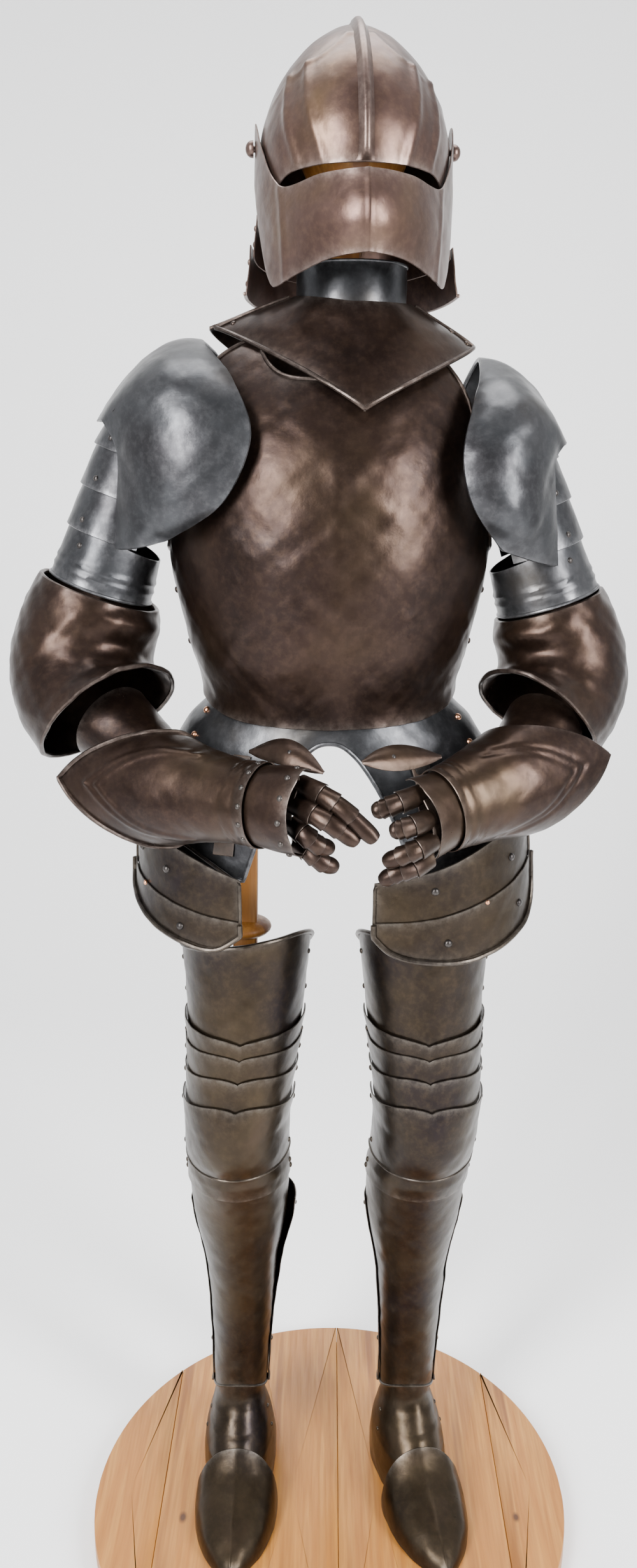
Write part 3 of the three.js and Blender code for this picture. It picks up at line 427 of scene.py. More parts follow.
# %% [markdown]
# ## A plate from a form
# Most plates are the part of a form between two turns and two edges. The grid is laid finely enough for the
# given step in millimetres: fine where there are flutes, coarser on a plain calf.

# %% Plates
def plate(piece, form, turns, low, high, step=5.0, ease=lambda t: t, relief=None, thick=WALL, dents=0.22,
          rolled=(), radius=2.4):
    """A wall on the part of a form between two turns and two edges, with some of its sides rolled."""
    start, end = turns
    ring = end - start == 360
    level_of = lambda value, turn: value(turn) if callable(value) else np.full(np.shape(turn), float(value))

    def grid_of(columns, rows):
        t = np.linspace(0, 1, columns + 1)
        turn = (start + (end - start) * t)[: columns if ring else columns + 1]
        u = ease(np.linspace(0, 1, rows + 1))
        bottom, top = level_of(low, turn), level_of(high, turn)
        level = bottom[:, None] + (top - bottom)[:, None] * u[None]
        turn = np.broadcast_to(turn[:, None], level.shape)
        return turn, level, form(turn, level)

    rough = grid_of(24, 8)[2]
    wide = np.linalg.norm(np.diff(rough, axis=0), axis=-1).sum(0).max()
    tall = np.linalg.norm(np.diff(rough, axis=1), axis=-1).sum(1).max()
    turn, level, grid = grid_of(max(6, int(wide / step)), max(3, int(tall / step)))
    roll(piece, wall(piece, grid, ring, thick, relief, turn, level, dents), rolled, radius)


print("plates are ready")

# %% [markdown]
# ## Rivets
# The lames slide on rivets with domed heads. A head is a small dome of a few rings, sunk a little way into
# the plate so that no gap shows under it. A UV sphere would do, but half of it would be hidden in the steel.

# %% Rivets
RIVET_SINK = 1.2  # mm


def rivet(piece, spot, out, radius=4.2, tall=0.62, coat=0, rings=4, sides=12):
    """A domed rivet head on a plate; spot is on its face and out is the way out of it."""
    out = unit(out)
    first = unit(np.cross(out, [0.3, 0.5, 0.8]))
    second = np.cross(out, first)
    angle = np.linspace(0, 2 * np.pi, sides, endpoint=False)
    points = []
    for k in range(rings):
        lean = np.pi / 2 * k / rings
        ring = (first * np.cos(angle)[:, None] + second * np.sin(angle)[:, None]) * radius * math.cos(lean)
        points.append(spot + ring + out * radius * tall * math.sin(lean))
    points.insert(0, points[0] - out * RIVET_SINK)
    points = np.vstack(points + [(spot + out * radius * tall)[None]])
    faces = hoop_faces(rings + 1, sides) + [cap_faces(rings * sides, sides, (rings + 1) * sides)]
    piece.add(points, faces, 0.35, coat)


def on(form, turn, level, turn_step=0.5, level_step=0.5):
    """A spot on a form and the way out of it there."""
    spot, wide, along = form(turn, level), form(turn + turn_step, level), form(turn, level + level_step)
    return spot, unit(np.cross(wide - spot, along - spot))


def rivets(piece, form, *stops, **size):
    """Rivets at (turn, level) stops of a form."""
    for turn, level in stops:
        rivet(piece, *on(form, turn, level), **size)


print("rivets are sunk", RIVET_SINK, "mm into the plate")

# %% [markdown]
# ## Browned and blued steel
# The plates were heated and oiled until the steel took on colour: russet on the helmet, breast and gauntlets,
# olive brown on the legs and tassets, blue grey on the shoulders and skirt. The colour drifts across a plate
# because it never heats evenly, so a large soft noise picks between a few shades. A fine noise changes how
# rough the surface is, and the "wear" of each point shows the bare steel at the edges.

# %% Shader helpers
def node_of(tree, kind, **settings):
    """A shader node with its own settings and, for names that match an input, the value of that input."""
    node = tree.nodes.new(kind)
    for name, value in settings.items():
        if name in node.inputs:
            node.inputs[name].default_value = value
        else:
            setattr(node, name, value)
    return node


def blank(name, metallic, roughness):
    """A new material, its node tree and its Principled shader."""
    material = bpy.data.materials.new(name)
    material.use_nodes = True
    tree = material.node_tree
    shader = tree.nodes["Principled BSDF"]
    shader.inputs["Metallic"].default_value = metallic
    shader.inputs["Roughness"].default_value = roughness
    return material, tree, shader


def noise(tree, where, scale, detail=3.0, rough=0.5, stretch=(1, 1, 1), offset=0.0):
    """Noise over the whole suit, stretched along an axis where the stretch is small."""
    place = node_of(tree, "ShaderNodeMapping")
    place.inputs["Scale"].default_value = stretch
    place.inputs["Location"].default_value = (offset, offset * 0.7, offset * 1.3)
    cloud = node_of(tree, "ShaderNodeTexNoise")
    cloud.inputs["Scale"].default_value = scale
    cloud.inputs["Detail"].default_value = detail
    cloud.inputs["Roughness"].default_value = rough
    tree.links.new(where, place.inputs["Vector"])
    tree.links.new(place.outputs["Vector"], cloud.inputs["Vector"])
    return cloud.outputs["Fac"]


def ramp(tree, value, *stops):
    """Picks a colour for each value: stops are (value, colour)."""
    picker = node_of(tree, "ShaderNodeValToRGB")
    tree.links.new(value, picker.inputs["Fac"])
    marks = picker.color_ramp.elements
    while len(marks) < len(stops):
        marks.new(0.5)
    for mark, (at, colour) in zip(marks, stops):
        mark.position = at
        mark.color = (*colour, 1)
    return picker.outputs["Color"]


def spread_of(tree, value, low, high, low_in=0.3, high_in=0.7):
    """Stretches a noise, which stays near the middle, over the range that is wanted."""
    node = node_of(tree, "ShaderNodeMapRange")
    for name, number in (("From Min", low_in), ("From Max", high_in), ("To Min", low), ("To Max", high)):
        node.inputs[name].default_value = number
    tree.links.new(value, node.inputs["Value"])
    return node.outputs["Result"]


def mixed(tree, share, first, second):
    """Two colours mixed by a share, each a plain value or another node's output."""
    node = node_of(tree, "ShaderNodeMix", data_type="RGBA")
    for socket, value in ((node.inputs[0], share), (node.inputs[6], first), (node.inputs[7], second)):
        if isinstance(value, (int, float)):
            socket.default_value = value
        elif isinstance(value, tuple):
            socket.default_value = (*value, 1)
        else:
            tree.links.new(value, socket)
    return node.outputs[2]


print("shader helpers are ready")

# %% [markdown]
# Steel takes three noises: a large one for the heat colours, a tall narrow one for the streaks that wiping
# leaves, and a fine grain. Wear and grain together decide where bare steel shows. A bump adds pits too small
# to model.

# %% Steel
STEEL_METALLIC = 0.82  # under 1, because the patina is a thin oxide and not bare metal


def steel(name, shades, bare, rough=(0.27, 0.42), offset=0.0, worn=0.45):
    """Patinated plate: shades are its heat colours from cool to warm, bare is the steel under them."""
    material, tree, shader = blank(name, STEEL_METALLIC, 0.4)
    where = node_of(tree, "ShaderNodeTexCoord").outputs["Object"]
    drift = noise(tree, where, 6.5, 4, 0.55, offset=offset)
    at = [0.32, 0.44, 0.53, 0.62, 0.72]
    colour = ramp(tree, drift, *zip(at, shades))
    streak = noise(tree, where, 16, 3, 0.6, stretch=(1.6, 1.6, 0.28), offset=offset + 3)
    darker = tuple(c * 0.62 for c in shades[1])
    colour = mixed(tree, spread_of(tree, streak, 0, 0.55), colour, darker)
    grain = noise(tree, where, 120, 5, 0.7, offset=offset + 5)
    lighter = tuple(min(1, c * 1.7) for c in shades[3])
    colour = mixed(tree, spread_of(tree, grain, 0, 0.35, 0.45, 0.75), colour, lighter)
    edge_wear = node_of(tree, "ShaderNodeAttribute", attribute_name="wear").outputs["Fac"]
    patchy = node_of(tree, "ShaderNodeMath", operation="MULTIPLY")
    tree.links.new(edge_wear, patchy.inputs[0])
    tree.links.new(spread_of(tree, grain, 0.1, worn, 0.35, 0.65), patchy.inputs[1])
    colour = mixed(tree, patchy.outputs[0], colour, bare)
    tree.links.new(colour, shader.inputs["Base Color"])
    cloudy = noise(tree, where, 22, 4, 0.6, offset=offset + 9)
    tree.links.new(spread_of(tree, cloudy, *rough), shader.inputs["Roughness"])
    pits = noise(tree, where, 420, 3, 0.6, offset=offset + 2)
    soft = noise(tree, where, 48, 2, 0.5, offset=offset + 4)
    height = node_of(tree, "ShaderNodeMath", operation="MULTIPLY_ADD")
    tree.links.new(pits, height.inputs[0])
    height.inputs[1].default_value = 0.12
    tree.links.new(soft, height.inputs[2])
    bump = node_of(tree, "ShaderNodeBump")
    bump.inputs["Strength"].default_value = 0.35
    bump.inputs["Distance"].default_value = 0.0016
    tree.links.new(height.outputs[0], bump.inputs["Height"])
    tree.links.new(bump.outputs["Normal"], shader.inputs["Normal"])
    return material


RUSSET = steel(
    "russet steel",
    [(0.013, 0.008, 0.007), (0.022, 0.012, 0.009), (0.030, 0.017, 0.012),
     (0.037, 0.022, 0.014), (0.048, 0.031, 0.018)],
    bare=(0.17, 0.145, 0.13), offset=1.7)
HELMET = steel(
    "rosy russet steel",
    [(0.041, 0.022, 0.019), (0.064, 0.037, 0.030), (0.090, 0.053, 0.043),
     (0.098, 0.059, 0.040), (0.117, 0.070, 0.033)],
    bare=(0.28, 0.23, 0.21), offset=4.1, rough=(0.28, 0.42))
BROWN = steel(
    "olive brown steel",
    [(0.012, 0.008, 0.009), (0.019, 0.013, 0.009), (0.027, 0.018, 0.010),
     (0.034, 0.023, 0.012), (0.043, 0.028, 0.017)],
    bare=(0.15, 0.135, 0.12), offset=8.3)
BLUED = steel(
    "blue grey steel",
    [(0.022, 0.020, 0.022), (0.033, 0.033, 0.036), (0.046, 0.048, 0.052),
     (0.059, 0.059, 0.062), (0.065, 0.059, 0.053)],
    bare=(0.25, 0.25, 0.26), offset=12.9, rough=(0.27, 0.42))
DARK = steel(
    "dark rolled steel",
    [(0.017, 0.014, 0.015), (0.025, 0.021, 0.020), (0.036, 0.030, 0.028),
     (0.044, 0.037, 0.033), (0.055, 0.046, 0.040)],
    bare=(0.20, 0.19, 0.18), offset=16.2, worn=0.4)


print("steels:", ", ".join(m.name for m in (RUSSET, HELMET, BROWN, BLUED, DARK)))

# %% [markdown]
# Copper rivets and strap leather are small, so one colour that darkens in patches is enough for them.

# %% Copper and leather
FINE_GRAIN = 0.0004  # metres, how deep the grain of leather and copper is


def plain(name, colour, rough, size, metallic=0.0):
    """A small part's finish: one colour a little darker in patches, with a fine grain."""
    material, tree, shader = blank(name, metallic, rough)
    where = node_of(tree, "ShaderNodeTexCoord").outputs["Object"]
    cloud = noise(tree, where, size, 4, 0.6)
    dark = tuple(c * 0.55 for c in colour)
    tree.links.new(ramp(tree, cloud, (0.35, dark), (0.65, colour)), shader.inputs["Base Color"])
    bump = node_of(tree, "ShaderNodeBump")
    bump.inputs["Strength"].default_value = 0.4
    bump.inputs["Distance"].default_value = FINE_GRAIN
    tree.links.new(noise(tree, where, size * 7, 3, 0.6), bump.inputs["Height"])
    tree.links.new(bump.outputs["Normal"], shader.inputs["Normal"])
    return material


COPPER = plain("copper rivet", (0.85, 0.42, 0.24), 0.28, size=150, metallic=1.0)
LEATHER = plain("oiled leather", (0.060, 0.038, 0.026), 0.62, size=90)
print("small parts:", COPPER.name, "and", LEATHER.name)

# %% [markdown]
# Pine shows its growth lines as long streaks, so the noise is stretched about twenty times along the grain.
# Knots are darker ovals at a few chosen places on the board.

# %% Pine
def pine(name, grain_along, knots=(), offset=0.0):
    """Oiled pine: growth lines along the grain, and knots at (x, y) metres that they bend round."""
    material, tree, shader = blank(name, 0.0, 0.42)
    where = node_of(tree, "ShaderNodeTexCoord").outputs["Object"]
    across = {"Y": (1, 0.045, 1), "Z": (1, 1, 0.045)}[grain_along]
    broad = noise(tree, where, 34, 3, 0.55, stretch=across, offset=offset)
    fine = noise(tree, where, 260, 3, 0.6, stretch=across, offset=offset + 2)
    patch = noise(tree, where, 5, 2, 0.5, offset=offset + 4)
    honey, amber = (0.47, 0.215, 0.045), (0.36, 0.140, 0.024)
    toffee, bark = (0.19, 0.066, 0.013), (0.070, 0.026, 0.009)
    colour = ramp(tree, broad, (0.30, honey), (0.47, amber), (0.55, honey), (0.66, toffee))
    colour = mixed(tree, spread_of(tree, fine, 0, 0.55), colour, toffee)
    colour = mixed(tree, spread_of(tree, patch, 0, 0.35), colour, amber)
    for x, y, size in knots:
        centre = node_of(tree, "ShaderNodeVectorMath", operation="SUBTRACT")
        tree.links.new(where, centre.inputs[0])
        centre.inputs[1].default_value = (x, y, PLINTH_TOP / 1000)
        squeeze = node_of(tree, "ShaderNodeVectorMath", operation="MULTIPLY")
        tree.links.new(centre.outputs[0], squeeze.inputs[0])
        squeeze.inputs[1].default_value = (1.0, 0.6, 0.0)
        far = node_of(tree, "ShaderNodeVectorMath", operation="LENGTH")
        tree.links.new(squeeze.outputs[0], far.inputs[0])
        near = spread_of(tree, far.outputs["Value"], 1.0, 0.0, size * 0.35, size)
        colour = mixed(tree, near, colour, bark)
    tree.links.new(colour, shader.inputs["Base Color"])
    tree.links.new(spread_of(tree, fine, 0.34, 0.55), shader.inputs["Roughness"])
    bump = node_of(tree, "ShaderNodeBump")
    bump.inputs["Strength"].default_value = 0.25
    bump.inputs["Distance"].default_value = 0.0006
    tree.links.new(fine, bump.inputs["Height"])
    tree.links.new(bump.outputs["Normal"], shader.inputs["Normal"])
    return material


BOARD = pine("pine boards", "Y", knots=((0.190, -0.245, 0.011), (-0.20, -0.05, 0.007), (0.255, -0.05, 0.006)))
TIMBER = pine("pine timber", "Z", offset=5.0)
print("finishes:", ", ".join(material.name for material in bpy.data.materials))

# %% [markdown]
# ## The stand
# The plinth is a disc sawn from edge glued pine boards, their grain running from back to front. Each board is
# its own strip here with a softened edge, so that the glue lines catch the light as they do on real boards.

# %% Plinth
PLINTH_RADIUS = 325  # mm
BOARD_JOINTS = (-325, -232, -118, 12, 121, 238, 325)  # mm, where one board meets the next
JOINT_GAP, BOARD_BEVEL = 0.5, 1.6  # mm


def bevelled(piece, outline, low, high, bevel):
    """A board with this outline, softened round its upper and lower edges."""
    outline = np.asarray(outline, float)
    middle = outline.mean(0)
    way = unit(np.roll(outline, -1, 0) - np.roll(outline, 1, 0))
    inward = np.stack([-way[:, 1], way[:, 0]], -1)
    steps = [(bevel, low), (bevel * 0.3, low + bevel * 0.3), (0, low + bevel), (0, high - bevel),
             (bevel * 0.3, high - bevel * 0.3), (bevel, high)]
    points = np.vstack([np.column_stack([outline + inward * by, np.full(len(outline), z)]) for by, z in steps])
    points = np.vstack([points, [[*middle, low], [*middle, high]]])
    count, levels = len(outline), len(steps)
    faces = hoop_faces(levels, count) + [cap_faces(0, count, levels * count, upward=False)]
    faces.append(cap_faces((levels - 1) * count, count, levels * count + 1))
    piece.add(points, faces)


board = Piece("plinth_boards")
for left, right in zip(BOARD_JOINTS, BOARD_JOINTS[1:]):
    left, right = left + JOINT_GAP / 2, right - JOINT_GAP / 2
    x = left + (right - left) * (0.5 - 0.5 * np.cos(np.linspace(0, np.pi, 22)))
    y = np.sqrt(np.maximum(PLINTH_RADIUS**2 - x**2, 0))
    outline = np.vstack([np.column_stack([x, -y]), np.column_stack([x[::-1], y[::-1]])])
    keep = np.linalg.norm(outline - np.roll(outline, 1, 0), axis=-1) > 0.05
    bevelled(board, outline[keep], 0, PLINTH_TOP, BOARD_BEVEL)
board.make([BOARD], "stand_plinth", slot="pine", up=0)
print("the plinth has", len(BOARD_JOINTS) - 1, "boards")

# %% [markdown]
# The frame is square timber with its corners planed off. A turned disc on each leg post fills out the thigh,
# and a rounded block fills the helmet.

# %% Frame of the stand
CHAMFER = 2.2  # mm, what is planed off the corners of a timber
post_feet = {"right": ((-124, 68, 1.4), (-100, 50, 1140)), "left": ((110, 68, 1.4), (112, 50, 1140))}
stand = Piece("stand_timbers")


def timber(piece, start, end, width):
    """A square timber with chamfered corners between two points."""
    start, end = np.array(start, float), np.array(end, float)
    way = unit(end - start)
    ahead = unit(np.cross(way, [1.0, 0, 0]) if abs(way[0]) < 0.9 else np.cross(way, [0, 0, 1.0]))
    side = np.cross(way, ahead)
    h, c = width / 2, width / 2 - CHAMFER
    corners = [(h, -c), (h, c), (c, h), (-c, h), (-h, c), (-h, -c), (-c, -h), (c, -h)]
    length = np.linalg.norm(end - start)
    rings = [(0, 0.93), (1.5, 1), (length - 1.5, 1), (length, 0.93)]
    points = np.vstack([[start + way * far + (ahead * a + side * b) * grow for a, b in corners]
                        for far, grow in rings])
    piece.add(points, hoop_faces(4, 8))
    piece.add(np.vstack([points[:8], points[:8].mean(0)]), [cap_faces(0, 8, 8, upward=False)])
    piece.add(np.vstack([points[-8:], points[-8:].mean(0)]), [cap_faces(0, 8, 8)])


def turned(piece, centre, *profile, sides=40):
    """A piece turned on a lathe about an upright axis, from (radius, height) rows; its ends are closed."""
    angle = np.linspace(0, 2 * np.pi, sides, endpoint=False)
    rows = [np.column_stack([np.cos(angle) * r, np.sin(angle) * r, np.full(sides, z)]) for r, z in profile]
    points = np.vstack(rows + [[[0, 0, profile[0][1]], [0, 0, profile[-1][1]]]]) + np.array(centre, float)
    count = len(profile)
    faces = hoop_faces(count, sides) + [cap_faces(0, sides, count * sides, upward=False)]
    faces.append(cap_faces((count - 1) * sides, sides, count * sides + 1))
    piece.add(points, faces)


for foot, hip in post_feet.values():
    timber(stand, foot, hip, 30)
    middle = np.array(foot) + (np.array(hip) - np.array(foot)) * 822 / 1140
    half = [(33 * math.cos(a), 13 * math.sin(a)) for a in np.linspace(-1.45, 1.45, 13)]
    turned(stand, (middle[0], middle[1], 822), *half)
timber(stand, (-116, 50, 1130), (126, 50, 1130), 36)
timber(stand, (6, 52, 1130), (6, 52, 1446), 36)
timber(stand, (-118, 52, 1436), (118, 52, 1436), 36)
timber(stand, (6, 52, 1436), (26, 40, 1735), 34)
head_profile = [(62 * math.cos(a) ** 0.8, 75 * math.sin(a)) for a in np.linspace(-1.5, 1.5, 19)]
turned(stand, (26, 40, 1735), *head_profile)
stand.make([TIMBER], "stand_frame", slot="pine")
print("the stand is", len(board.faces) + len(stand.faces), "faces")

# %% [markdown]
# ## The helmet
# The skull of the helmet is raised from one sheet into a pointed egg, with a comb along its crest that stops
# a sword from gliding. Flutes run up from the brow: they stiffen the steel and spread the light. The visor
# turns on two bolts at the temples, and its slots let in air. Two lames guard the nape.

# %% Skull, comb and bolts
helmet_at = dict(origin=(26, 35, 0), yaw=4.5)
skull_rows = rows_of(
    "at half front back",
    (1636, 95, 124, 122), (1680, 99, 131, 127), (1719, 100, 129, 125), (1768, 83, 109, 105),
    (1802, 57, 77, 75), (1822, 30, 43, 43), (1832, 4, 5, 5))
skull_edge = edge((0, 1677), (46, 1675), (58, 1668), (80, 1644), (180, 1638))
COMB_HALF, COMB_RISE = 5.0, 7.2  # mm, half its width at mid height, and how far it stands up
PIVOT_Z = 1715  # mm, the height of the visor's bolts
dome_ease = lambda t: np.sin(t * np.pi / 2) ** 0.9
skull_form = placed(ring_form(skull_rows), **helmet_at)
flutes = [  # (turn, level) at the foot and at the tip of each, from the suit's right to its left
    ((-42, 1682), (-58, 1768)), ((-25, 1681), (-43, 1776)), ((25, 1681), (40, 1774)), ((44, 1682), (57, 1764))]


def fluted(turn, level, place):
    """Sharp flutes over the brow, their tips joined by a scalloped step that rises to the comb."""
    height = 0
    for foot, tip in flutes:
        height = height + along_path(place, line_on(skull_form, foot, tip), 9, 2.6, 1.3)
    tips = [(-76, 1745), *[tip for _, tip in flutes[:2]], (-14, 1806), (0, 1816), (14, 1806),
            *[tip for _, tip in flutes[2:]], (76, 1745)]
    for (turn_a, level_a), (turn_b, level_b) in zip(tips, tips[1:]):
        sag = ((turn_a + turn_b) / 2, (level_a + level_b) / 2 - 5)
        scallop = line_on(skull_form, (turn_a, level_a), sag, (turn_b, level_b))
        height = height + along_path(place, scallop, 7, 0.8)
    return height


skull = Piece("helmet_skull_plate")
plate(skull, skull_form, (-180, 180), skull_edge, 1832, step=3.2, ease=dome_ease, relief=fluted, dents=0.15)


def comb(piece, form, brow, nape, crown, steps=70):
    """The crest: a narrow ridge with hollow sides, from the brow over the crown to the nape."""
    u = dome_ease(np.linspace(0, 1, steps))
    front = form(np.zeros(steps), brow + (crown - brow) * u)
    back = form(np.full(steps, 180.0), nape + (crown - nape) * u)
    spine = np.vstack([front, back[::-1]])
    spine = even_steps(spine, 3.5, False)
    across = unit(form(np.float64(90), 1700.0) - form(np.float64(-90), 1700.0))
    way = unit(np.gradient(spine, axis=0))
    out = unit(np.cross(across, way) * -1)
    out *= np.sign(np.sum(out * (spine - spine.mean(0)), -1, keepdims=True))
    fade = np.minimum(1, np.minimum(np.arange(len(spine)), np.arange(len(spine))[::-1]) / 3 + 0.15)
    profile = [(-2.1, -0.8), (-1.5, 0.05), (-1.05, 0.35), (-0.8, 0.72), (-0.42, 0.95), (0, 1.0)]
    profile += [(-a, h) for a, h in profile[-2::-1]]
    grid = np.stack([spine + across * a * COMB_HALF + out * (h * COMB_RISE * fade)[:, None]
                     for a, h in profile])
    rows, count = len(profile), len(spine)
    i, j = (m.ravel() for m in np.meshgrid(np.arange(rows - 1), np.arange(count - 1), indexing="ij"))
    faces = [np.stack([i * count + j, i * count + j + 1, (i + 1) * count + j + 1, (i + 1) * count + j], -1)]
    piece.add(grid.reshape(-1, 3), faces, 0.55)


comb(skull, skull_form, 1678, 1689, 1831)
for side in (-1, 1):
    spot, out = on(skull_form, np.float64(side * 90), PIVOT_Z)
    out = unit(out * [1, 1, 0])
    tube(skull, [spot - out * 3, spot + out * 9], 3.5, sides=14)
    rivet(skull, spot + out * 7.6, out, radius=8.6, tall=0.85, rings=6, sides=24)
skull.make([HELMET], "helmet_skull")

# %% [markdown]
# The visor is one plate with a keel down its middle and a crease at each side where it turns back to the
# bolts. On the real one breathing slots are cut with a chisel and file. The Boolean of lens shapes below is
# meant to do that, but it leaves no holes: the faces of its punches point inwards, which is probably why.

# %% Visor
visor_rows = rows_of(
    "at half front back square",
    (1560, 104, 152, 110, 1.62), (1592, 105, 158, 111, 1.62), (1625, 106, 168, 111, 1.62),
    (1664, 107, 156, 111, 1.62), (1700, 106, 142, 111, 1.8), (1740, 105, 126, 110, 2))
visor_low = edge((0, 1592), (25, 1588), (45, 1578), (60, 1571), (66, 1577), (74, 1612), (84, 1668),
                 (91, 1694), (98, 1700))
visor_high = edge((0, 1667), (30, 1665), (51, 1661), (60, 1674), (72, 1708), (84, 1734), (91, 1738), (98, 1726))
visor_form = placed(ring_form(visor_rows), **helmet_at)
breaths = rows_of("x lean z", (-44, 0.30, 1627), (-23, 0.26, 1629), (20, -0.22, 1629), (38, -0.24, 1627))
BREATH_LONG, BREATH_WIDE = 50, 10  # mm


def visor_creases(turn, level, place):
    """The keel down the middle and the crease at each corner of the face."""
    height = along_path(place, line_on(visor_form, (0, 1590), (0, 1668)), 5, 0.9, 1.2)
    for side in (-1, 1):
        corner = line_on(visor_form, (side * 53, 1574), (side * 55, 1662))
        height = height + along_path(place, corner, 9, 1.2, 1.3)
    return height


visor = Piece("helmet_visor_plate")
plate(visor, visor_form, (-98, 98), visor_low, visor_high, step=2.6, relief=visor_creases, dents=0.15)
visor_obj = visor.make([HELMET], "helmet_visor", body="visor")


def lens(x, lean, z, long, wide):
    """A lens shaped punch that goes through the visor from the front; its faces point inwards."""
    at = np.linspace(0, 1, 15)
    half = wide / 2 * np.sin(np.pi * at) ** 0.85
    down = long * (at - 0.5)
    rim = np.vstack([np.column_stack([half, down]), np.column_stack([-half[::-1], down[::-1]])[1:-1]])
    turn = np.array([[math.cos(lean), math.sin(lean)], [-math.sin(lean), math.cos(lean)]])
    rim = rim @ turn
    near = np.column_stack([x + rim[:, 0], np.full(len(rim), -200.0), z + rim[:, 1]])
    far = near + [0, 130, 0]
    yaw = math.radians(helmet_at["yaw"])
    spin = np.array([[math.cos(yaw), -math.sin(yaw), 0], [math.sin(yaw), math.cos(yaw), 0], [0, 0, 1]]).T
    points = (np.vstack([near, far]) @ spin + helmet_at["origin"] + [0, 0, PLINTH_TOP]) / 1000
    count = len(rim)
    walls = [(k, (k + 1) % count, (k + 1) % count + count, k + count) for k in range(count)]
    mesh = bpy.data.meshes.new("lens punch")
    mesh.from_pydata(points.tolist(), [], [tuple(range(count))[::-1], tuple(range(count, 2 * count)), *walls])
    obj = bpy.data.objects.new("lens punch", mesh)
    bpy.context.scene.collection.objects.link(obj)
    return obj


def cut(obj, punches):
    """Subtracts the punches from a piece once and for all, then deletes them."""
    for punch in punches:
        knife = obj.modifiers.new("cut", "BOOLEAN")
        knife.operation, knife.solver, knife.object = "DIFFERENCE", "EXACT", punch
    done = bpy.data.meshes.new_from_object(obj.evaluated_get(bpy.context.evaluated_depsgraph_get()))
    obj.modifiers.clear()
    obj.data = done
    done.set_sharp_from_angle(angle=math.radians(SHARP_EDGE))
    for punch in punches:
        bpy.data.objects.remove(punch)


cut(visor_obj, [lens(x, lean, z, BREATH_LONG, BREATH_WIDE)
                for x, lean, z in zip(breaths["x"], breaths["lean"], breaths["z"])])
print("the visor has", len(visor_obj.data.polygons), "faces after the Boolean, but no slots")

# %% [markdown]
# The two lames at the nape are simple strips that slide on rivets. Their ends show at both sides of the neck.

# %% Nape lames
tail_rows = rows_of("at half front back", (1552, 117, 118, 150), (1600, 110, 112, 138), (1650, 105, 107, 131))
folded = lambda form: (lambda turn, level: form(np.where(turn > 180, turn - 360, turn), level))


def tail_edge(z):
    """The edge of a nape lame, a little lower behind than at the ends."""
    height = edge((93, z + 8), (130, z), (180, z - 6))
    return lambda turn: height(np.where(turn > 180, 360 - turn, turn))


tail_form = placed(folded(ring_form(tail_rows)), **helmet_at)
outer_tail_form = placed(folded(ring_form(tail_rows, lambda level: LAP)), **helmet_at)
upper_tail, lower_tail = Piece("nape_lame_upper"), Piece("nape_lame_lower")
plate(upper_tail, tail_form, (93, 267), tail_edge(1602), 1652)
plate(lower_tail, outer_tail_form, (93, 267), tail_edge(1564), tail_edge(1614), rolled=("low",), radius=2.2)
for turn in (97, 263):
    rivets(upper_tail, tail_form, (turn, 1640), (turn, 1624), radius=3.6)
    rivets(lower_tail, outer_tail_form, (turn, 1606), (turn, 1584), radius=3.6)
upper_tail.make([HELMET], "helmet_tail_upper")
lower_tail.make([HELMET], "helmet_tail_lower")
print("the helmet is made")

# %% [markdown]
# ## The gorget
# The gorget guards the throat. Its front and back halves are cut to a point and rolled all round, and a short
# tube of steel stands up inside them round the neck. It has settled on its stand, so it leans a little.

# %% Gorget
gorget_at = dict(origin=(14, 40, 1527), roll=4)
gorget_rows = rows_of(
    "at x y z half front back square dip skew",
    (0.00, 9, 1, 38, 67, 67, 66, 2.00, 6, 0), (0.35, 6, 1, 26, 92, 82, 80, 1.85, 30, 9),
    (0.70, 3, 0, 12, 122, 104, 104, 1.50, 58, 18), (1.00, 0, 0, 0, 145, 124, 122, 1.28, 80, 28))


def gorget_section(turn, level):
    row = read(gorget_rows, level)
    to_front = 1 - np.abs(np.sin(np.radians(turn))) ** 1.4
    x = row["x"] + row["skew"] * np.cos(np.radians(turn))
    return ring_point({**row, "x": x, "z": row["z"] - row["dip"] * to_front}, turn)


gorget_form = placed(gorget_section, **gorget_at)
front, back = Piece("gorget_front_plate"), Piece("gorget_back_plate")
plate(front, gorget_form, (-85.5, 85.5), 1, 0, step=4, rolled=("low", "start", "end"), radius=2.6)
plate(back, gorget_form, (94.5, 265.5), 1, 0, step=5, rolled=("low", "start", "end"), radius=2.4)
for turn, level, size in ((79, 0.62, 3.6), (79, 0.88, 3.6), (-79, 0.80, 3.4)):
    rivet(front, *on(gorget_form, np.float64(turn), np.float64(level), 1, -0.02), radius=size)
front.make([RUSSET], "gorget_front")
back.make([RUSSET], "gorget_back")

collar_rows = rows_of(
    "at x y half front back", (1545, 24, 42, 61.5, 61.5, 61.5), (1600, 25, 42, 60.5, 60.5, 60.5))
collar_form = ring_form(collar_rows)
collar = Piece("gorget_neck_tube")
plate(collar, collar_form, (-180, 180), 1550, 1600, rolled=("high",), radius=1.6)
collar.make([BLUED], "gorget_collar", slot="blued_steel")
print("the gorget is made")

# %% [markdown]
# ## Breast and back
# The breastplate is one deep globe of steel with only a faint ridge down its middle. Its arm holes and lower
# edge are turned outwards. The backplate passes a little way inside it at the sides.

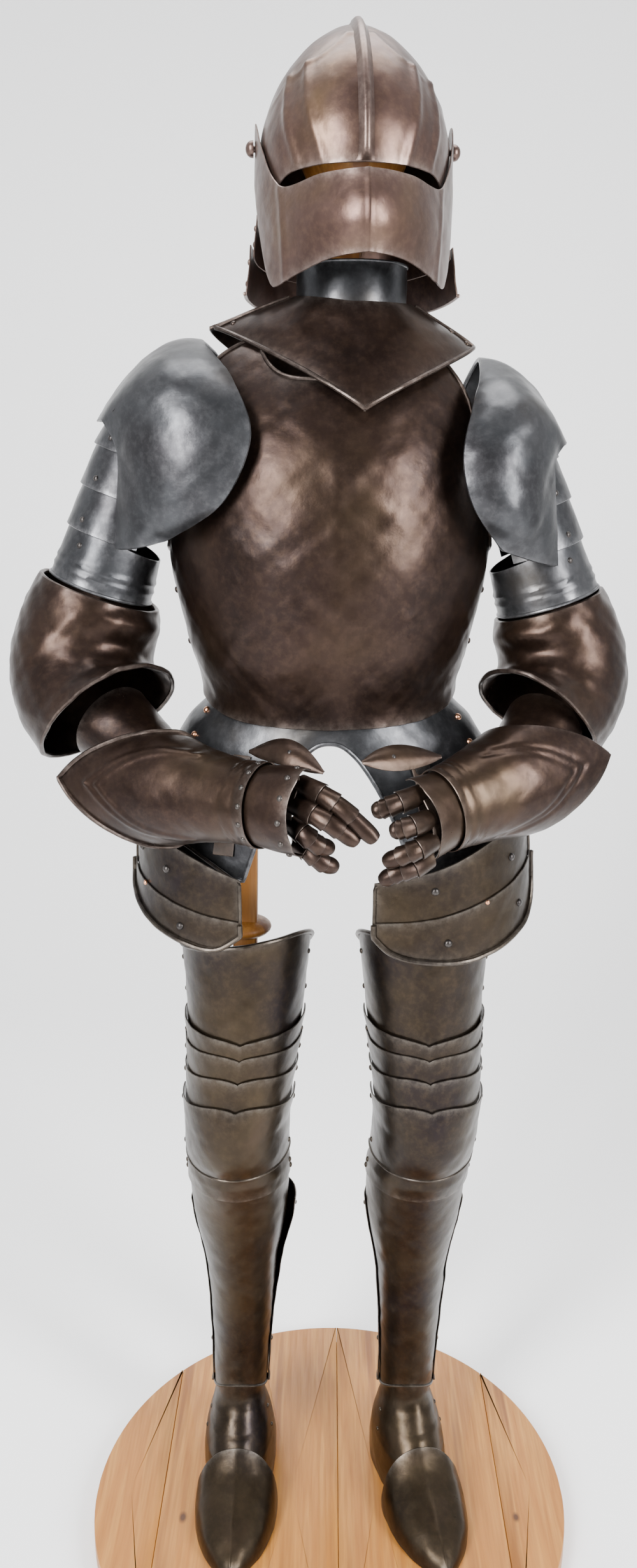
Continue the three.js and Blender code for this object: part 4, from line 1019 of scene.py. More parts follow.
# %% Trunk
torso_rows = rows_of(
    "at y half front back",
    (1085, 50, 153, 122, 106), (1133, 50, 150, 130, 106), (1190, 50, 165, 146, 114), (1290, 50, 185, 158, 128),
    (1380, 50, 182, 150, 134), (1450, 50, 174, 120, 128), (1500, 50, 152, 84, 110), (1532, 50, 108, 54, 88))
breast_low = edge((0, 1106), (45, 1111), (90, 1134))
breast_high = edge(
    (0, 1478), (18, 1484), (36, 1520), (48, 1518), (57, 1490), (66, 1424), (74, 1348), (80, 1310), (90, 1296))
back_edge = edge(
    (0, 1500), (22, 1506), (40, 1528), (50, 1518), (58, 1488), (66, 1424), (76, 1340), (84, 1304), (102, 1294))
BACK_TUCK = 4  # mm, how far the backplate lies inside the breastplate where they meet
breast_form = ring_form(torso_rows)
back_form = ring_form(torso_rows, lambda level: -BACK_TUCK)


def breast_ridge(turn, level, place):
    """A faint ridge down the middle, and a low swelling along the lower edge."""
    ridge = along_path(place, line_on(breast_form, (2.5, 1180), (2.5, 1300), (2.5, 1400)), 16, 1.1, 1.5)
    return ridge + 1.3 * np.exp(-((level - breast_low(turn)) / 7) ** 2)


breast, back = Piece("breastplate_steel"), Piece("backplate_steel")
plate(breast, breast_form, (-90, 90), breast_low, breast_high, step=5.5, relief=breast_ridge, thick=HEAVY,
      dents=0.35, rolled=("high",), radius=2.2)
plate(back, back_form, (78.75, 281.25), 1136, lambda turn: back_edge(turn - 180), step=7, thick=HEAVY,
      dents=0.3)
for turn in (-84, 84):
    rivets(breast, breast_form, (turn, 1190), (turn, 1250), radius=4)
breast.make([RUSSET], "breastplate")
back.make([RUSSET], "backplate")
print("breast and back are made")

# %% [markdown]
# ## The fauld and the culet
# The fauld is the skirt at the front, arched between the legs; the culet covers the seat. They are two parts
# of one flared form. The grid of the fauld is finer, because its arch is a curve that shows.

# %% Skirt
SKIRT_HALF = 222  # mm, half the width of the skirt at its hem
skirt_rows = rows_of(
    "at y half front back",
    (930, 50, SKIRT_HALF, 144, 168), (1040, 50, 200, 135, 150), (1098, 50, 170, 125, 122),
    (1127, 50, 143, 119, 98), (1156, 50, 139, 116, 95))
CULET_TUCK = 6  # mm, how far the culet lies inside the fauld where they meet
BELLY = 34  # mm, how much lower the skirt starts to spread at the front than at the sides
ARCH = dict(top=1088, bottom=935, half=98, power=2.5)  # mm


def skirt_form(turn, level, grow=0):
    """The skirt's surface, moved out by grow; under the belly it starts to spread lower down."""
    ahead = np.maximum(0, np.cos(np.radians(turn)))
    row = grown(read(skirt_rows, level + BELLY * ahead**2), grow)
    return ring_point({**row, "z": level}, turn)


def fauld_low(turn):
    """The lower edge of the fauld: an arch between the legs, and a hem that rises at the sides."""
    across = SKIRT_HALF * np.sin(np.radians(turn)) / ARCH["half"]
    under_arch = ARCH["top"] - (ARCH["top"] - ARCH["bottom"]) * np.abs(across) ** ARCH["power"]
    return np.maximum(under_arch, edge((0, 932), (40, 930), (90, 958))(turn))


towards_top = lambda t: 1 - (1 - t) ** 1.6
culet_hem = edge((0, 1042), (30, 1030), (60, 975), (99, 958))
fauld, culet = Piece("fauld_steel"), Piece("culet_steel")
plate(fauld, skirt_form, (-90, 90), fauld_low, 1150, step=4, ease=towards_top, rolled=("low",), radius=2.6)
plate(culet, lambda turn, level: skirt_form(turn, level, -CULET_TUCK), (81, 279),
      lambda turn: culet_hem(turn - 180), 1144, step=7, ease=towards_top, rolled=("low",), radius=2.4)
COPPER_STUDS = ((-71, 1112), (-65, 1085), (70, 1104), (66, 1076))  # (turn, level) on the fauld
COPPER_HEAD = dict(tall=0.8, coat=1, sides=16)
rivets(fauld, skirt_form, *COPPER_STUDS, radius=4.4, **COPPER_HEAD)
fauld.make([BLUED, COPPER, DARK], "fauld", slot="blued_steel")
culet.make([BLUED], "culet", slot="blued_steel")
print("the skirt has", len(COPPER_STUDS), "copper studs")

# %% [markdown]
# Every strap is held by a squared tab with one copper rivet, and has a small buckle of bent wire. They are
# added to the mesh of the strap that they sit on.

# %% Tabs and buckles
def tab(piece, form, turn, level, wide, tall):
    """A squared steel tab held by one copper rivet, its corners softened."""
    spot, out = on(form, np.float64(turn), np.float64(level))
    up = unit(form(np.float64(turn), np.float64(level + 1)) - spot)
    side = np.cross(up, out)
    count, squareness = 24, 0.35
    corners = [(math.cos(a), math.sin(a)) for a in np.linspace(0, 2 * np.pi, count, endpoint=False)]
    squared = [(wide / 2 * np.sign(c) * abs(c) ** squareness, tall / 2 * np.sign(s) * abs(s) ** squareness)
               for c, s in corners]
    layers = [(0.92, 2.8), (1.0, 2.3), (1.0, 0.2)]  # (size, mm above the strap)
    points = np.vstack([[spot + side * a * k + up * b * k + out * h for a, b in squared] for k, h in layers])
    points = np.vstack([points, spot + out * 2.8])
    faces = [hoop[:, ::-1] for hoop in hoop_faces(len(layers), count)] + [cap_faces(0, count, len(points) - 1)]
    piece.add(points, faces, 0.6, 2)
    rivet(piece, spot + out * 2.6 + up * tall * 0.12, out, radius=4.0, **COPPER_HEAD)
    return spot, out, up, side


def buckle(piece, spot, out, up, side, wide, tall):
    """A wire frame with a tongue across it."""
    frame_path = [spot + side * wide / 2 * math.cos(a) + up * tall / 2 * math.sin(a) + out * 3.6
                  for a in np.linspace(0, 2 * np.pi, 26, endpoint=False)]
    tube(piece, frame_path, 1.5, closed=True, sides=8, coat=2)
    tongue = [spot - up * tall * 0.1 + out * 4.0, spot + up * tall * 0.2 + out * 5.2,
              spot + up * tall * 0.56 + out * 4.2]
    tube(piece, tongue, 1.2, sides=7, coat=2)


print("tabs and buckles are ready")

# %% [markdown]
# ## Tassets
# Each tasset hangs from the skirt over the thigh. It has two lames, and the lower one has a thick rolled
# border. Leather straps carry it, and the one that shows is made here: a thin strip that follows the skirt.

# %% Tassets and straps
tasset_place = {"right": dict(x=-105, y=30, half=126, front=132, turns=(-84, 2)),
                "left": dict(x=100, y=30, half=140, front=132, turns=(-20, 82))}
tasset_edges = {
    "right": dict(top=uneven_edge((-84, 992), (-40, 975), (2, 938)),
                  seam=uneven_edge((-84, 930), (-50, 912), (-20, 897), (2, 888)),
                  bottom=uneven_edge((-84, 912), (-72, 893), (-50, 873), (-24, 857), (-10, 855), (2, 872))),
    "left": dict(top=uneven_edge((-20, 932), (10, 950), (45, 982), (82, 992)),
                 seam=uneven_edge((-20, 884), (10, 893), (45, 915), (82, 940)),
                 bottom=uneven_edge((-20, 868), (-12, 850), (2, 840), (25, 838), (50, 852), (72, 874),
                                    (82, 905)))}
TASSET_LAP = 12  # mm that the upper lame reaches down behind the lower one
TASSET_OUT = 2.4  # mm that the lower lame lies outside the upper one
TASSET_SPREAD, SPREAD_FROM = 0.05, 980  # mm wider for every mm further down than this level


def tasset_form(side, grow):
    """The surface of a tasset, moved out by grow."""
    place = tasset_place[side]

    def form(turn, level):
        half = place["half"] + grow + (SPREAD_FROM - level) * TASSET_SPREAD
        return ring_point({"x": place["x"], "y": place["y"], "z": level, "half": half,
                           "front": place["front"] + grow, "back": place["front"]}, turn)
    return form


tasset_studs = {"right": [(-66, 955, 0), (-40, 942, 0), (-30, 878, 0), (-58, 915, 1)],
                "left": [(8, 925, 0), (52, 950, 0), (14, 862, 0), (58, 890, 0), (34, 905, 1)]}
STRAP_RUN = dict(right=(-38, -31), left=(31, 38), top=1072, tab=1062, bottom=958, gap=1.4)
BUCKLE_BELOW = 22  # mm from the tab down to the buckle
for side in ("right", "left"):
    edges, turns = tasset_edges[side], tasset_place[side]["turns"]
    upper, lower = Piece(f"tasset_upper_steel_{side}"), Piece(f"tasset_lower_steel_{side}")
    top, seam, bottom = edges["top"], edges["seam"], edges["bottom"]
    plate(upper, tasset_form(side, 0), turns, lambda turn: seam(turn) - TASSET_LAP, top, step=5,
          rolled=("start", "end"), radius=2.2)
    plate(lower, tasset_form(side, TASSET_OUT), turns, bottom, seam, step=4,
          rolled=("low", "start", "end"), radius=3.2)
    for turn, level, copper in tasset_studs[side]:
        on_lower = level < float(seam(turn))
        rivets(lower if on_lower else upper, tasset_form(side, TASSET_OUT if on_lower else 0), (turn, level),
               radius=3.0 if copper else 4.8, tall=0.7, coat=1 if copper else 2)
    upper.make([BROWN, COPPER, DARK], f"tasset_upper_{side}", slot="brown_steel")
    lower.make([BROWN, COPPER, DARK], f"tasset_lower_{side}", slot="brown_steel")
    strap = Piece(f"tasset_strap_leather_{side}")
    strap_form = lambda turn, level: skirt_form(turn, level, STRAP + STRAP_RUN["gap"])
    plate(strap, strap_form, STRAP_RUN[side], STRAP_RUN["bottom"], STRAP_RUN["top"], step=3, thick=STRAP,
          dents=0.4)
    middle = sum(STRAP_RUN[side]) / 2
    spot, out, up, across = tab(strap, strap_form, middle, STRAP_RUN["tab"], wide=17, tall=19)
    buckle(strap, spot - up * BUCKLE_BELOW, out, up, across, wide=24, tall=15)
    strap.make([LEATHER, COPPER, DARK], f"tasset_strap_{side}", slot="leather")
print("tassets are made")

# %% [markdown]
# ## Legs
# A leg is one tube of sections that several plates share: the cuisse on the thigh, three lames, the domed
# poleyn on the knee, one lame below it, and the greave in two halves. Each lame's upper edge is cut to the
# shape of a bracket with a notch in the middle, a favourite of armourers, and stands out over the plate above.

# %% Leg sections
leg_rows = rows_of(
    "at right left y half front back",
    (105, -127, 108, 66, 37, 44, 42), (189, -124, 111, 68, 39, 46, 45), (289, -121, 113, 68, 45, 54, 53),
    (340, -121, 113, 68, 50, 61, 60), (405, -121, 114, 66, 62, 72, 68), (460, -121, 116, 60, 66, 80, 66),
    (505, -121, 120, 50, 65, 86, 62), (540, -121, 124, 42, 67, 97, 61), (575, -120, 126, 38, 69, 101, 61),
    (610, -117, 126, 36, 69, 95, 62), (650, -113, 124, 36, 70, 90, 66), (712, -108, 121, 39, 73, 90, 74),
    (800, -105, 119, 42, 80, 90, 82), (855, -105, 119, 44, 85, 94, 86))
LEG_ARC = (-97.5, 97.5)  # degrees, how far the lames reach round a leg
SIDE_RIVET = 3.8  # mm, the radius of the rivets that the lames slide on
between = lambda front, side: (lambda turn: side + (front - side) * np.cos(np.radians(turn)) ** 2)


def leg_form(side, grow=lambda level: 0):
    """The surface of one leg, moved out by an amount that may change with the level."""
    def form(turn, level):
        row = read(leg_rows, level)
        return ring_point({**grown(row, grow(level)), "x": row[side]}, turn)
    return form


def bracket(front, side):
    """A lame's upper edge: two shallow lobes that meet in a notch at the front."""
    base = between(front, side)

    def height(turn):
        away = np.abs(turn)
        notch, lobe = 5.0 * np.exp(-away / 5.0), 1.6 * np.exp(-((away - 22) / 13) ** 2)
        return base(turn) - notch + lobe - 1.5 * np.exp(-((away - 58) / 12) ** 2)
    return height


def side_rivets(piece, form, level, turn=86):
    """One rivet at each side of a lame."""
    rivets(piece, form, (-turn, level), (turn, level), radius=SIDE_RIVET)


print("the notch of a bracket is", round(float(bracket(0, 0)(22) - bracket(0, 0)(0)), 1), "mm deep")

# %% [markdown]
# The cuisse stays open behind the thigh. Below it each lame flares over the plate above, and the poleyn, the
# domed plate of the knee, is narrow in the middle and flares at both ends.

# %% Thigh and knee
knee_lames = [("knee_lame_1", 712, 718, 38), ("knee_lame_2", 692, 688, 44), ("knee_lame_3", 662, 650, 47)]
POLEYN = dict(front=625, side=608, bottom=517, narrow=576, lip=2.6)
cuisse_rim = uneven_edge((-112, 806), (-90, 812), (0, 837), (45, 842), (70, 834), (90, 818), (112, 796))


def poleyn_flare(level):
    """The poleyn is tight at its narrow level and stands out at both of its edges."""
    upper = flare(POLEYN["narrow"], POLEYN["side"])
    return upper(level) + flare(POLEYN["narrow"], POLEYN["bottom"], POLEYN["lip"])(level)


def thigh_and_knee(side, inward):
    """The cuisse, three lames and the poleyn of one leg; inward is 1 on the right leg, -1 on the left."""
    cuisse = Piece(f"cuisse_steel_{side}")
    plate(cuisse, leg_form(side), (-112, 112), 700, lambda turn: cuisse_rim(turn * inward),
          rolled=("high",), radius=3.0)
    rivets(cuisse, leg_form(side), (inward * 80, 800), (-inward * 84, 790), (-inward * 88, 745),
           (inward * 92, 745), radius=SIDE_RIVET)
    cuisse.make([BROWN], f"cuisse_{side}", slot="brown_steel")
    for name, front, at_side, down in knee_lames:
        lame = Piece(f"{name}_steel_{side}")
        base, form = between(front, at_side), leg_form(side, flare(front - down, front))
        plate(lame, form, LEG_ARC, lambda turn: base(turn) - down, bracket(front, at_side), step=3.2)
        side_rivets(lame, form, front - down * 0.55)
        lame.make([BROWN], f"{name}_{side}", slot="brown_steel")
    poleyn, form = Piece(f"poleyn_steel_{side}"), leg_form(side, poleyn_flare)
    plate(poleyn, form, LEG_ARC, POLEYN["bottom"], bracket(POLEYN["front"], POLEYN["side"]), step=3.6,
          rolled=("low",), radius=1.6)
    side_rivets(poleyn, form, 596)
    side_rivets(poleyn, form, 532, 82)
    poleyn.make([BROWN], f"poleyn_{side}", slot="brown_steel")


print("a knee has", len(knee_lames), "lames above its poleyn")

# %% [markdown]
# The greave closes round the shin and calf in two halves that meet at the sides. Below the knee one more lame
# is tucked in at its upper edge and stands out over the greave at its lower one.

# %% Shin and calf
LOWER_LAME = dict(bottom=476, top=526, under=514, over=497, tuck=-1.2, out=3.2)
GREAVE_BACK = dict(gap=2.8, open=9, start=250, full=410)


def lower_lame_flare(level):
    tuck, out = LOWER_LAME["tuck"], LOWER_LAME["out"]
    return tuck + flare(LOWER_LAME["under"], LOWER_LAME["over"], out - tuck)(level)


def calf_form(side):
    """The back half of the greave, which gapes towards the top on the inner side of the right leg."""
    gape = flare(GREAVE_BACK["start"], GREAVE_BACK["full"], GREAVE_BACK["open"])

    def form(turn, level):
        share = np.maximum(0, np.sin(np.radians(turn))) if side == "right" else 0
        return leg_form(side, lambda z: GREAVE_BACK["gap"] + share * gape(z))(turn, level)
    return form


def shin_and_calf(side):
    """The lame below the knee and the two halves of the greave."""
    lame, form = Piece(f"greave_lame_steel_{side}"), leg_form(side, lower_lame_flare)
    plate(lame, form, LEG_ARC, LOWER_LAME["bottom"], LOWER_LAME["top"], step=3.6)
    side_rivets(lame, form, 494, 84)
    side_rivets(lame, form, 482)
    lame.make([BROWN], f"greave_lame_{side}", slot="brown_steel")
    shin, calf = Piece(f"greave_front_steel_{side}"), Piece(f"greave_back_steel_{side}")
    plate(shin, leg_form(side), LEG_ARC, between(150, 128), between(492, 488), rolled=("low",), radius=1.8)
    plate(calf, calf_form(side), (82.5, 277.5), 128, 428, step=6, rolled=("low",), radius=1.6)
    rivets(calf, calf_form(side), (94, 410), (266, 410), (94, 190), (266, 190), radius=3.4)
    shin.make([BROWN], f"greave_front_{side}", slot="brown_steel")
    calf.make([BROWN], f"greave_back_{side}", slot="brown_steel")


for side, inward in (("right", 1), ("left", -1)):
    thigh_and_knee(side, inward)
    shin_and_calf(side)
print("legs are made")

# %% [markdown]
# ## Feet
# The sabaton covers the instep with lames that step down towards the toe, and ends in a long pointed cap.

# %% Feet
foot_rows = rows_of(
    "at y half front back",
    (0.5, 62, 50, 112, 66), (30, 62, 51, 106, 66), (60, 62, 48, 88, 62), (85, 63, 42, 62, 54),
    (106, 65, 36, 46, 44), (122, 66, 32.5, 39.5, 37), (160, 67, 32, 39, 36.5))
toe_rows = rows_of(
    "at half rise", (-150, 6, 12), (-138, 19, 21), (-110, 39, 34), (-75, 52, 46), (-40, 57, 59), (-12, 57, 80))
SEAT, HEEL = 0.7, 62  # mm, clearance above the plinth and how far back a foot turns about its heel
foot_place = {"right": (-128, 0), "left": (110, math.degrees(0.2))}
foot_steps = ((60, 1.6), (84, 1.6), (104, 1.2))  # (level, step) of each lame over the instep


def toe_section(turn, level):
    """A low arch over the toes; here the level runs forwards and not up."""
    row = read(toe_rows, level)
    s, c = np.sin(np.radians(turn)), np.maximum(np.cos(np.radians(turn)), 0)
    half, rise = row["half"], row["rise"]
    return np.stack(np.broadcast_arrays(half * np.sign(s) * np.abs(s) ** 0.9, level, SEAT + rise * c**0.8), -1)


def lame_steps(turn, level, place):
    """Each lame of the instep steps down onto the next one towards the toe."""
    height = 0
    for cut_at, step in foot_steps:
        past = cut_at - level
        height = height + (step * np.clip(past / 1.5, 0, 1) * np.maximum(0, np.cos(np.radians(turn)))
                           * np.exp(-np.maximum(past, 0) / 22))
    return height


def foot_form(side, form):
    """A form turned about the heel to the way that the foot points."""
    x, yaw = foot_place[side]
    return placed(lambda turn, level: form(turn, level) - [0, HEEL, 0], (x, HEEL, 0), yaw=yaw)


for side in ("right", "left"):
    instep, toe = Piece(f"sabaton_instep_steel_{side}"), Piece(f"sabaton_toe_steel_{side}")
    over_foot = foot_form(side, ring_form(foot_rows))
    plate(instep, over_foot, (-180, 180), SEAT, between(146, 136), step=3.6, relief=lame_steps,
          rolled=("high",), radius=1.5)
    ridge = lambda turn, level, place: 1.6 * np.exp(-np.abs(turn) / 9) - 0.6
    plate(toe, foot_form(side, toe_section), (-90, 90), -150, lambda turn: -24 + 10 * np.cos(np.radians(turn)),
          step=3.6, relief=ridge)
    rivets(instep, over_foot, (-78, 66), (78, 66), (-80, 90), (80, 90), radius=3)
    instep.make([BROWN], f"sabaton_instep_{side}", slot="brown_steel")
    toe.make([BROWN], f"sabaton_toe_{side}", slot="brown_steel")
print("feet are made")

# %% [markdown]
# ## Shoulders
# A pauldron wraps from a broad wing on the breast, over the shoulder, to a wing on the back. It is drawn as
# ribs from the neck side to the arm side, and smooth rails through the ribs give every rib between them.

# %% Pauldrons
pauldron_ribs = {  # inner edge, crown, outer edge of each rib, from the front wing to the back wing
    "right": [
        ((-176, -66, 1312), (-212, -52, 1304), (-237, -24, 1302)),
        ((-112, -92, 1354), (-180, -84, 1348), (-232, -28, 1350)),
        ((-82, -93, 1420), (-168, -92, 1416), (-228, -38, 1404)),
        ((-100, -66, 1474), (-178, -68, 1476), (-244, -26, 1436)),
        ((-126, -12, 1507), (-190, -14, 1503), (-255, 4, 1437)),
        ((-142, 50, 1525), (-198, 50, 1509), (-260, 50, 1438)),
        ((-126, 116, 1507), (-190, 118, 1494), (-252, 96, 1436)),
        ((-104, 162, 1450), (-176, 164, 1444), (-236, 128, 1420)),
        ((-118, 176, 1385), (-176, 172, 1380), (-230, 132, 1366)),
        ((-160, 166, 1330), (-196, 156, 1325), (-226, 134, 1322))],
    "left": [
        ((186, -62, 1303), (222, -44, 1290), (255, -16, 1282)),
        ((152, -84, 1350), (206, -78, 1340), (250, -22, 1334)),
        ((141, -82, 1396), (200, -80, 1396), (246, -28, 1390)),
        ((152, -52, 1448), (212, -52, 1450), (256, -18, 1412)),
        ((164, -8, 1482), (216, -4, 1474), (262, 10, 1412)),
        ((168, 50, 1506), (220, 52, 1483), (266, 52, 1412)),
        ((160, 114, 1484), (212, 116, 1468), (258, 98, 1412)),
        ((146, 160, 1434), (206, 160, 1424), (250, 128, 1396)),
        ((146, 172, 1376), (202, 166, 1366), (248, 130, 1350)),
        ((176, 164, 1322), (218, 150, 1310), (250, 128, 1304))]}
# The sharp fold that runs down a front wing from the shoulder rivet, as points on the wing.
wing_fold = {"right": ((-222, -34, 1432), (-205, -52, 1378), (-186, -66, 1316)),
             "left": ((252, -28, 1400), (240, -52, 1350), (222, -58, 1296))}
wing_rivets = {"right": ((0.335, 0.88), (0.02, 0.9)), "left": ((0.30, 0.86), (0.03, 0.88))}
ALONG, ACROSS = 120, 34  # points of the grid from wing to wing, and from the neck side to the arm side


def pauldron_grid(side, along, across):
    """Points on a pauldron: smooth rails through the ribs, and a smooth arc across between the rails."""
    rails = [spline([rib[k] for rib in pauldron_ribs[side]], np.linspace(0, 1, along)) for k in range(3)]
    inner, crown, outer = (rail[:, None] for rail in rails)
    middle = crown * 2 - inner / 2 - outer / 2
    t = np.linspace(0, 1, across)[None, :, None]
    return inner * (1 - t) ** 2 + middle * 2 * t * (1 - t) + outer * t**2


for side in ("right", "left"):
    piece = Piece(f"pauldron_steel_{side}")
    grid = pauldron_grid(side, ALONG, ACROSS)
    fold = spline(wing_fold[side], np.linspace(0, 1, 60))
    crease = lambda turn, level, place: along_path(place, fold, 20, 2.6, 1.25)
    if side == "right":
        grid = grid[::-1]  # so that its outer face looks outwards
    roll(piece, wall(piece, grid, relief=crease, dents=0.3), ("low", "start", "end"), radius=2.8)
    normal = normals_of(grid, False)
    for along, across in wing_rivets[side]:
        i = int((1 - along if side == "right" else along) * (ALONG - 1))
        j = int(across * (ACROSS - 1))
        rivet(piece, grid[i, j], normal[i, j], radius=4.6, coat=1)
    piece.make([BLUED, DARK], f"pauldron_{side}", slot="blued_steel")
print("each pauldron is drawn through", len(pauldron_ribs["right"]), "ribs")

# %% [markdown]
# ## Upper arms
# Three lames and a closed tube, the rerebrace, run down the arm. Each one laps the next like roof tiles, so
# a blow slides off. A double band is raised round the rerebrace near its lower edge.

# %% Upper arms
arm_place = {"right": dict(origin=(-268, 45, 1252), roll=20), "left": dict(origin=(257, 45, 1236), roll=-18)}
arm_rows = rows_of("at half front back", (-10, 56, 61, 61), (155, 51, 56, 56), (200, 44, 49, 49))
arm_lames = [("arm_lame_3", 60, 120), ("arm_lame_2", 108, 167), ("arm_lame_1", 155, 190)]
LAME_REACH = 123.75  # degrees round the arm from its outer side
REREBRACE = dict(outer=72, inner=52)


def double_band(turn, level, place):
    """Two raised lines round the rerebrace."""
    return sum(1.5 * np.exp(-((level - at) / 2.6) ** 2) for at in (14, 24))


for side, outwards in (("right", -90), ("left", 90)):
    for name, low, high in arm_lames:
        lame = Piece(f"{name}_steel_{side}")
        form = placed(ring_form(arm_rows, flare(high, low)), **arm_place[side])
        plate(lame, form, (outwards - LAME_REACH, outwards + LAME_REACH), low, high, step=4.5)
        front_turn = outwards * 0.42
        rivets(lame, form, (front_turn, low + 12), (2 * outwards - front_turn, low + 12), radius=3.6, coat=1)
        lame.make([BLUED, DARK], f"{name}_{side}", slot="blued_steel")
    tube_plate = Piece(f"rerebrace_steel_{side}")
    form = placed(ring_form(arm_rows, flare(REREBRACE["outer"], 0)), **arm_place[side])
    upper = lambda turn: between(REREBRACE["outer"], REREBRACE["inner"])((turn - outwards) / 2)
    plate(tube_plate, form, (-180, 180), 0, upper, step=3.2, relief=double_band, rolled=("low",), radius=1.8)
    rivets(tube_plate, form, (outwards * 0.35, 44), radius=3.4, coat=1)
    tube_plate.make([BLUED, DARK], f"rerebrace_{side}", slot="blued_steel")
print("upper arms are made, with", len(arm_lames), "lames each")

# %% [markdown]
# ## Elbows and forearms
# A forearm lies at a slant, so its plates are drawn on their own frame: up the arm from the wrist, out of the
# back of the hand, and across towards the thumb. The sections are then short rows, as on the legs.

# %% Forearm frames
forearm = {"right": dict(wrist=(-92, -145, 1043), elbow=(-272, -10, 1036), back=(-0.59, -0.785, 0.185)),
           "left": dict(wrist=(123, -142, 1034), elbow=(298, -5, 1068), back=(0.57, -0.8, 0.2))}
lower_arm = {"right": dict(wrist=(-172, -74, 1052), elbow=(-262, 4, 1103), back=forearm["right"]["back"]),
             "left": dict(wrist=(200, -80, 1060), elbow=(256, -4, 1100), back=forearm["left"]["back"])}


def limb_frame(side, limb):
    """Up the arm, out of the back of the hand, and across towards the thumb."""
    wrist, elbow, back = (np.array(limb[name], float) for name in ("wrist", "elbow", "back"))
    up = unit(elbow - wrist)
    out = unit(back - up * (back @ up))
    return wrist, up, out, np.cross(up, out) * (1 if side == "right" else -1)


def limb_form(side, limb, rows):
    """The surface through sections along a limb, with its palm side flatter than its back."""
    wrist, up, out, thumb = limb_frame(side, limb)

    def form(turn, level):
        row = read(rows, level)
        c, s = np.cos(np.radians(turn)), np.sin(np.radians(turn))
        deep = np.where(c > 0, row["back"], row["palm"]) * c
        far = np.broadcast_to(np.asarray(level, float), np.shape(deep))
        return wrist + up * far[..., None] + out * deep[..., None] + thumb * (row["half"] * s)[..., None]
    return form


print("the right forearm is", round(float(np.linalg.norm(np.subtract(
    forearm["right"]["elbow"], forearm["right"]["wrist"])))), "mm long")

# %% [markdown]
# The couter is a bent tube whose outer side spreads into a wing. Its sections swing about an axis in the crook
# of the arm, so their level is an angle.

# %% Couter form
couter_rows = rows_of("at inner outer side", (0, 82, 214, 67), (12, 73, 228, 73), (30, 85, 240, 78),
                      (46, 74, 236, 79), (62, 42, 222, 77))
couter_end = lambda turn: 58 + 5 * np.sin(np.radians(turn)) - np.cos(np.radians(turn))
couter_place = {"right": dict(to_hand=(0.717, -0.677, -0.155), below=5, scale=1.06, front=1),
                "left": dict(to_hand=(-0.717, -0.677, -0.155), below=5, scale=0.96, front=-1)}
CROOK = 148  # mm from the middle of the arm to the axis it bends about


def couter_form(side):
    """The surface of one couter, which starts square to the upper arm and swings towards the hand."""
    place = couter_place[side]
    tilt, to_hand, scale = math.radians(arm_place[side]["roll"]), np.array(place["to_hand"]), place["scale"]
    down = np.array([-math.sin(tilt), 0, -math.cos(tilt)])
    inwards = unit(to_hand - down * (to_hand @ down))
    hinge = np.cross(down, inwards)
    axis = np.array(arm_place[side]["origin"], float) + down * place["below"] + inwards * scale * CROOK

    def form(turn, level):
        row = read(couter_rows, level)
        swing, c, s = np.radians(level), np.cos(np.radians(turn)), np.sin(np.radians(turn))
        reach = (row["inner"] + row["outer"]) / 2 + (row["outer"] - row["inner"]) / 2 * c
        swing = np.broadcast_to(swing, np.shape(reach))
        way = -inwards * np.cos(swing)[..., None] + down * np.sin(swing)[..., None]
        return axis + way * (scale * reach)[..., None] + hinge * (scale * row["side"] * s)[..., None]
    return form


print("a couter bends through", couter_rows["at"][-1], "degrees")

# %% [markdown]
# The vambrace covers the forearm inside the long cuff of the gauntlet. The cuff ends in a point behind the
# arm, and a chevron of two raised lines stiffens it.

# %% Couters, vambraces and cuffs
cuff_rows = rows_of("at half back palm", (-40, 48, 40, 36), (-10, 45, 38, 34), (45, 51, 45, 36),
                    (110, 65, 57, 44), (225, 78, 64, 50))
cuff_end = edge((0, 222), (20, 196), (45, 156), (70, 120), (95, 100), (135, 96), (180, 100))
vambrace_rows = rows_of("at half back palm", (0, 34, 35, 34), (60, 40, 41, 42), (125, 50, 52, 54))
hand_rows = rows_of("at half back palm", (-100, 46, 28, 28), (-60, 46, 33, 33), (0, 40.5, 34.5, 34.5))
VAMBRACE_REACH = {"right": 118, "left": 92}
hand_reach = {"right": dict(low=-82, high=-14, cuff=-30, scale=1.0),
              "left": dict(low=-36, high=8, cuff=-6, scale=0.9)}
# (turn, level) where the arms of the chevron end
CHEVRON_FEET = {"right": ((62, 62), (-66, 62)), "left": ((58, 62), (-60, 60))}

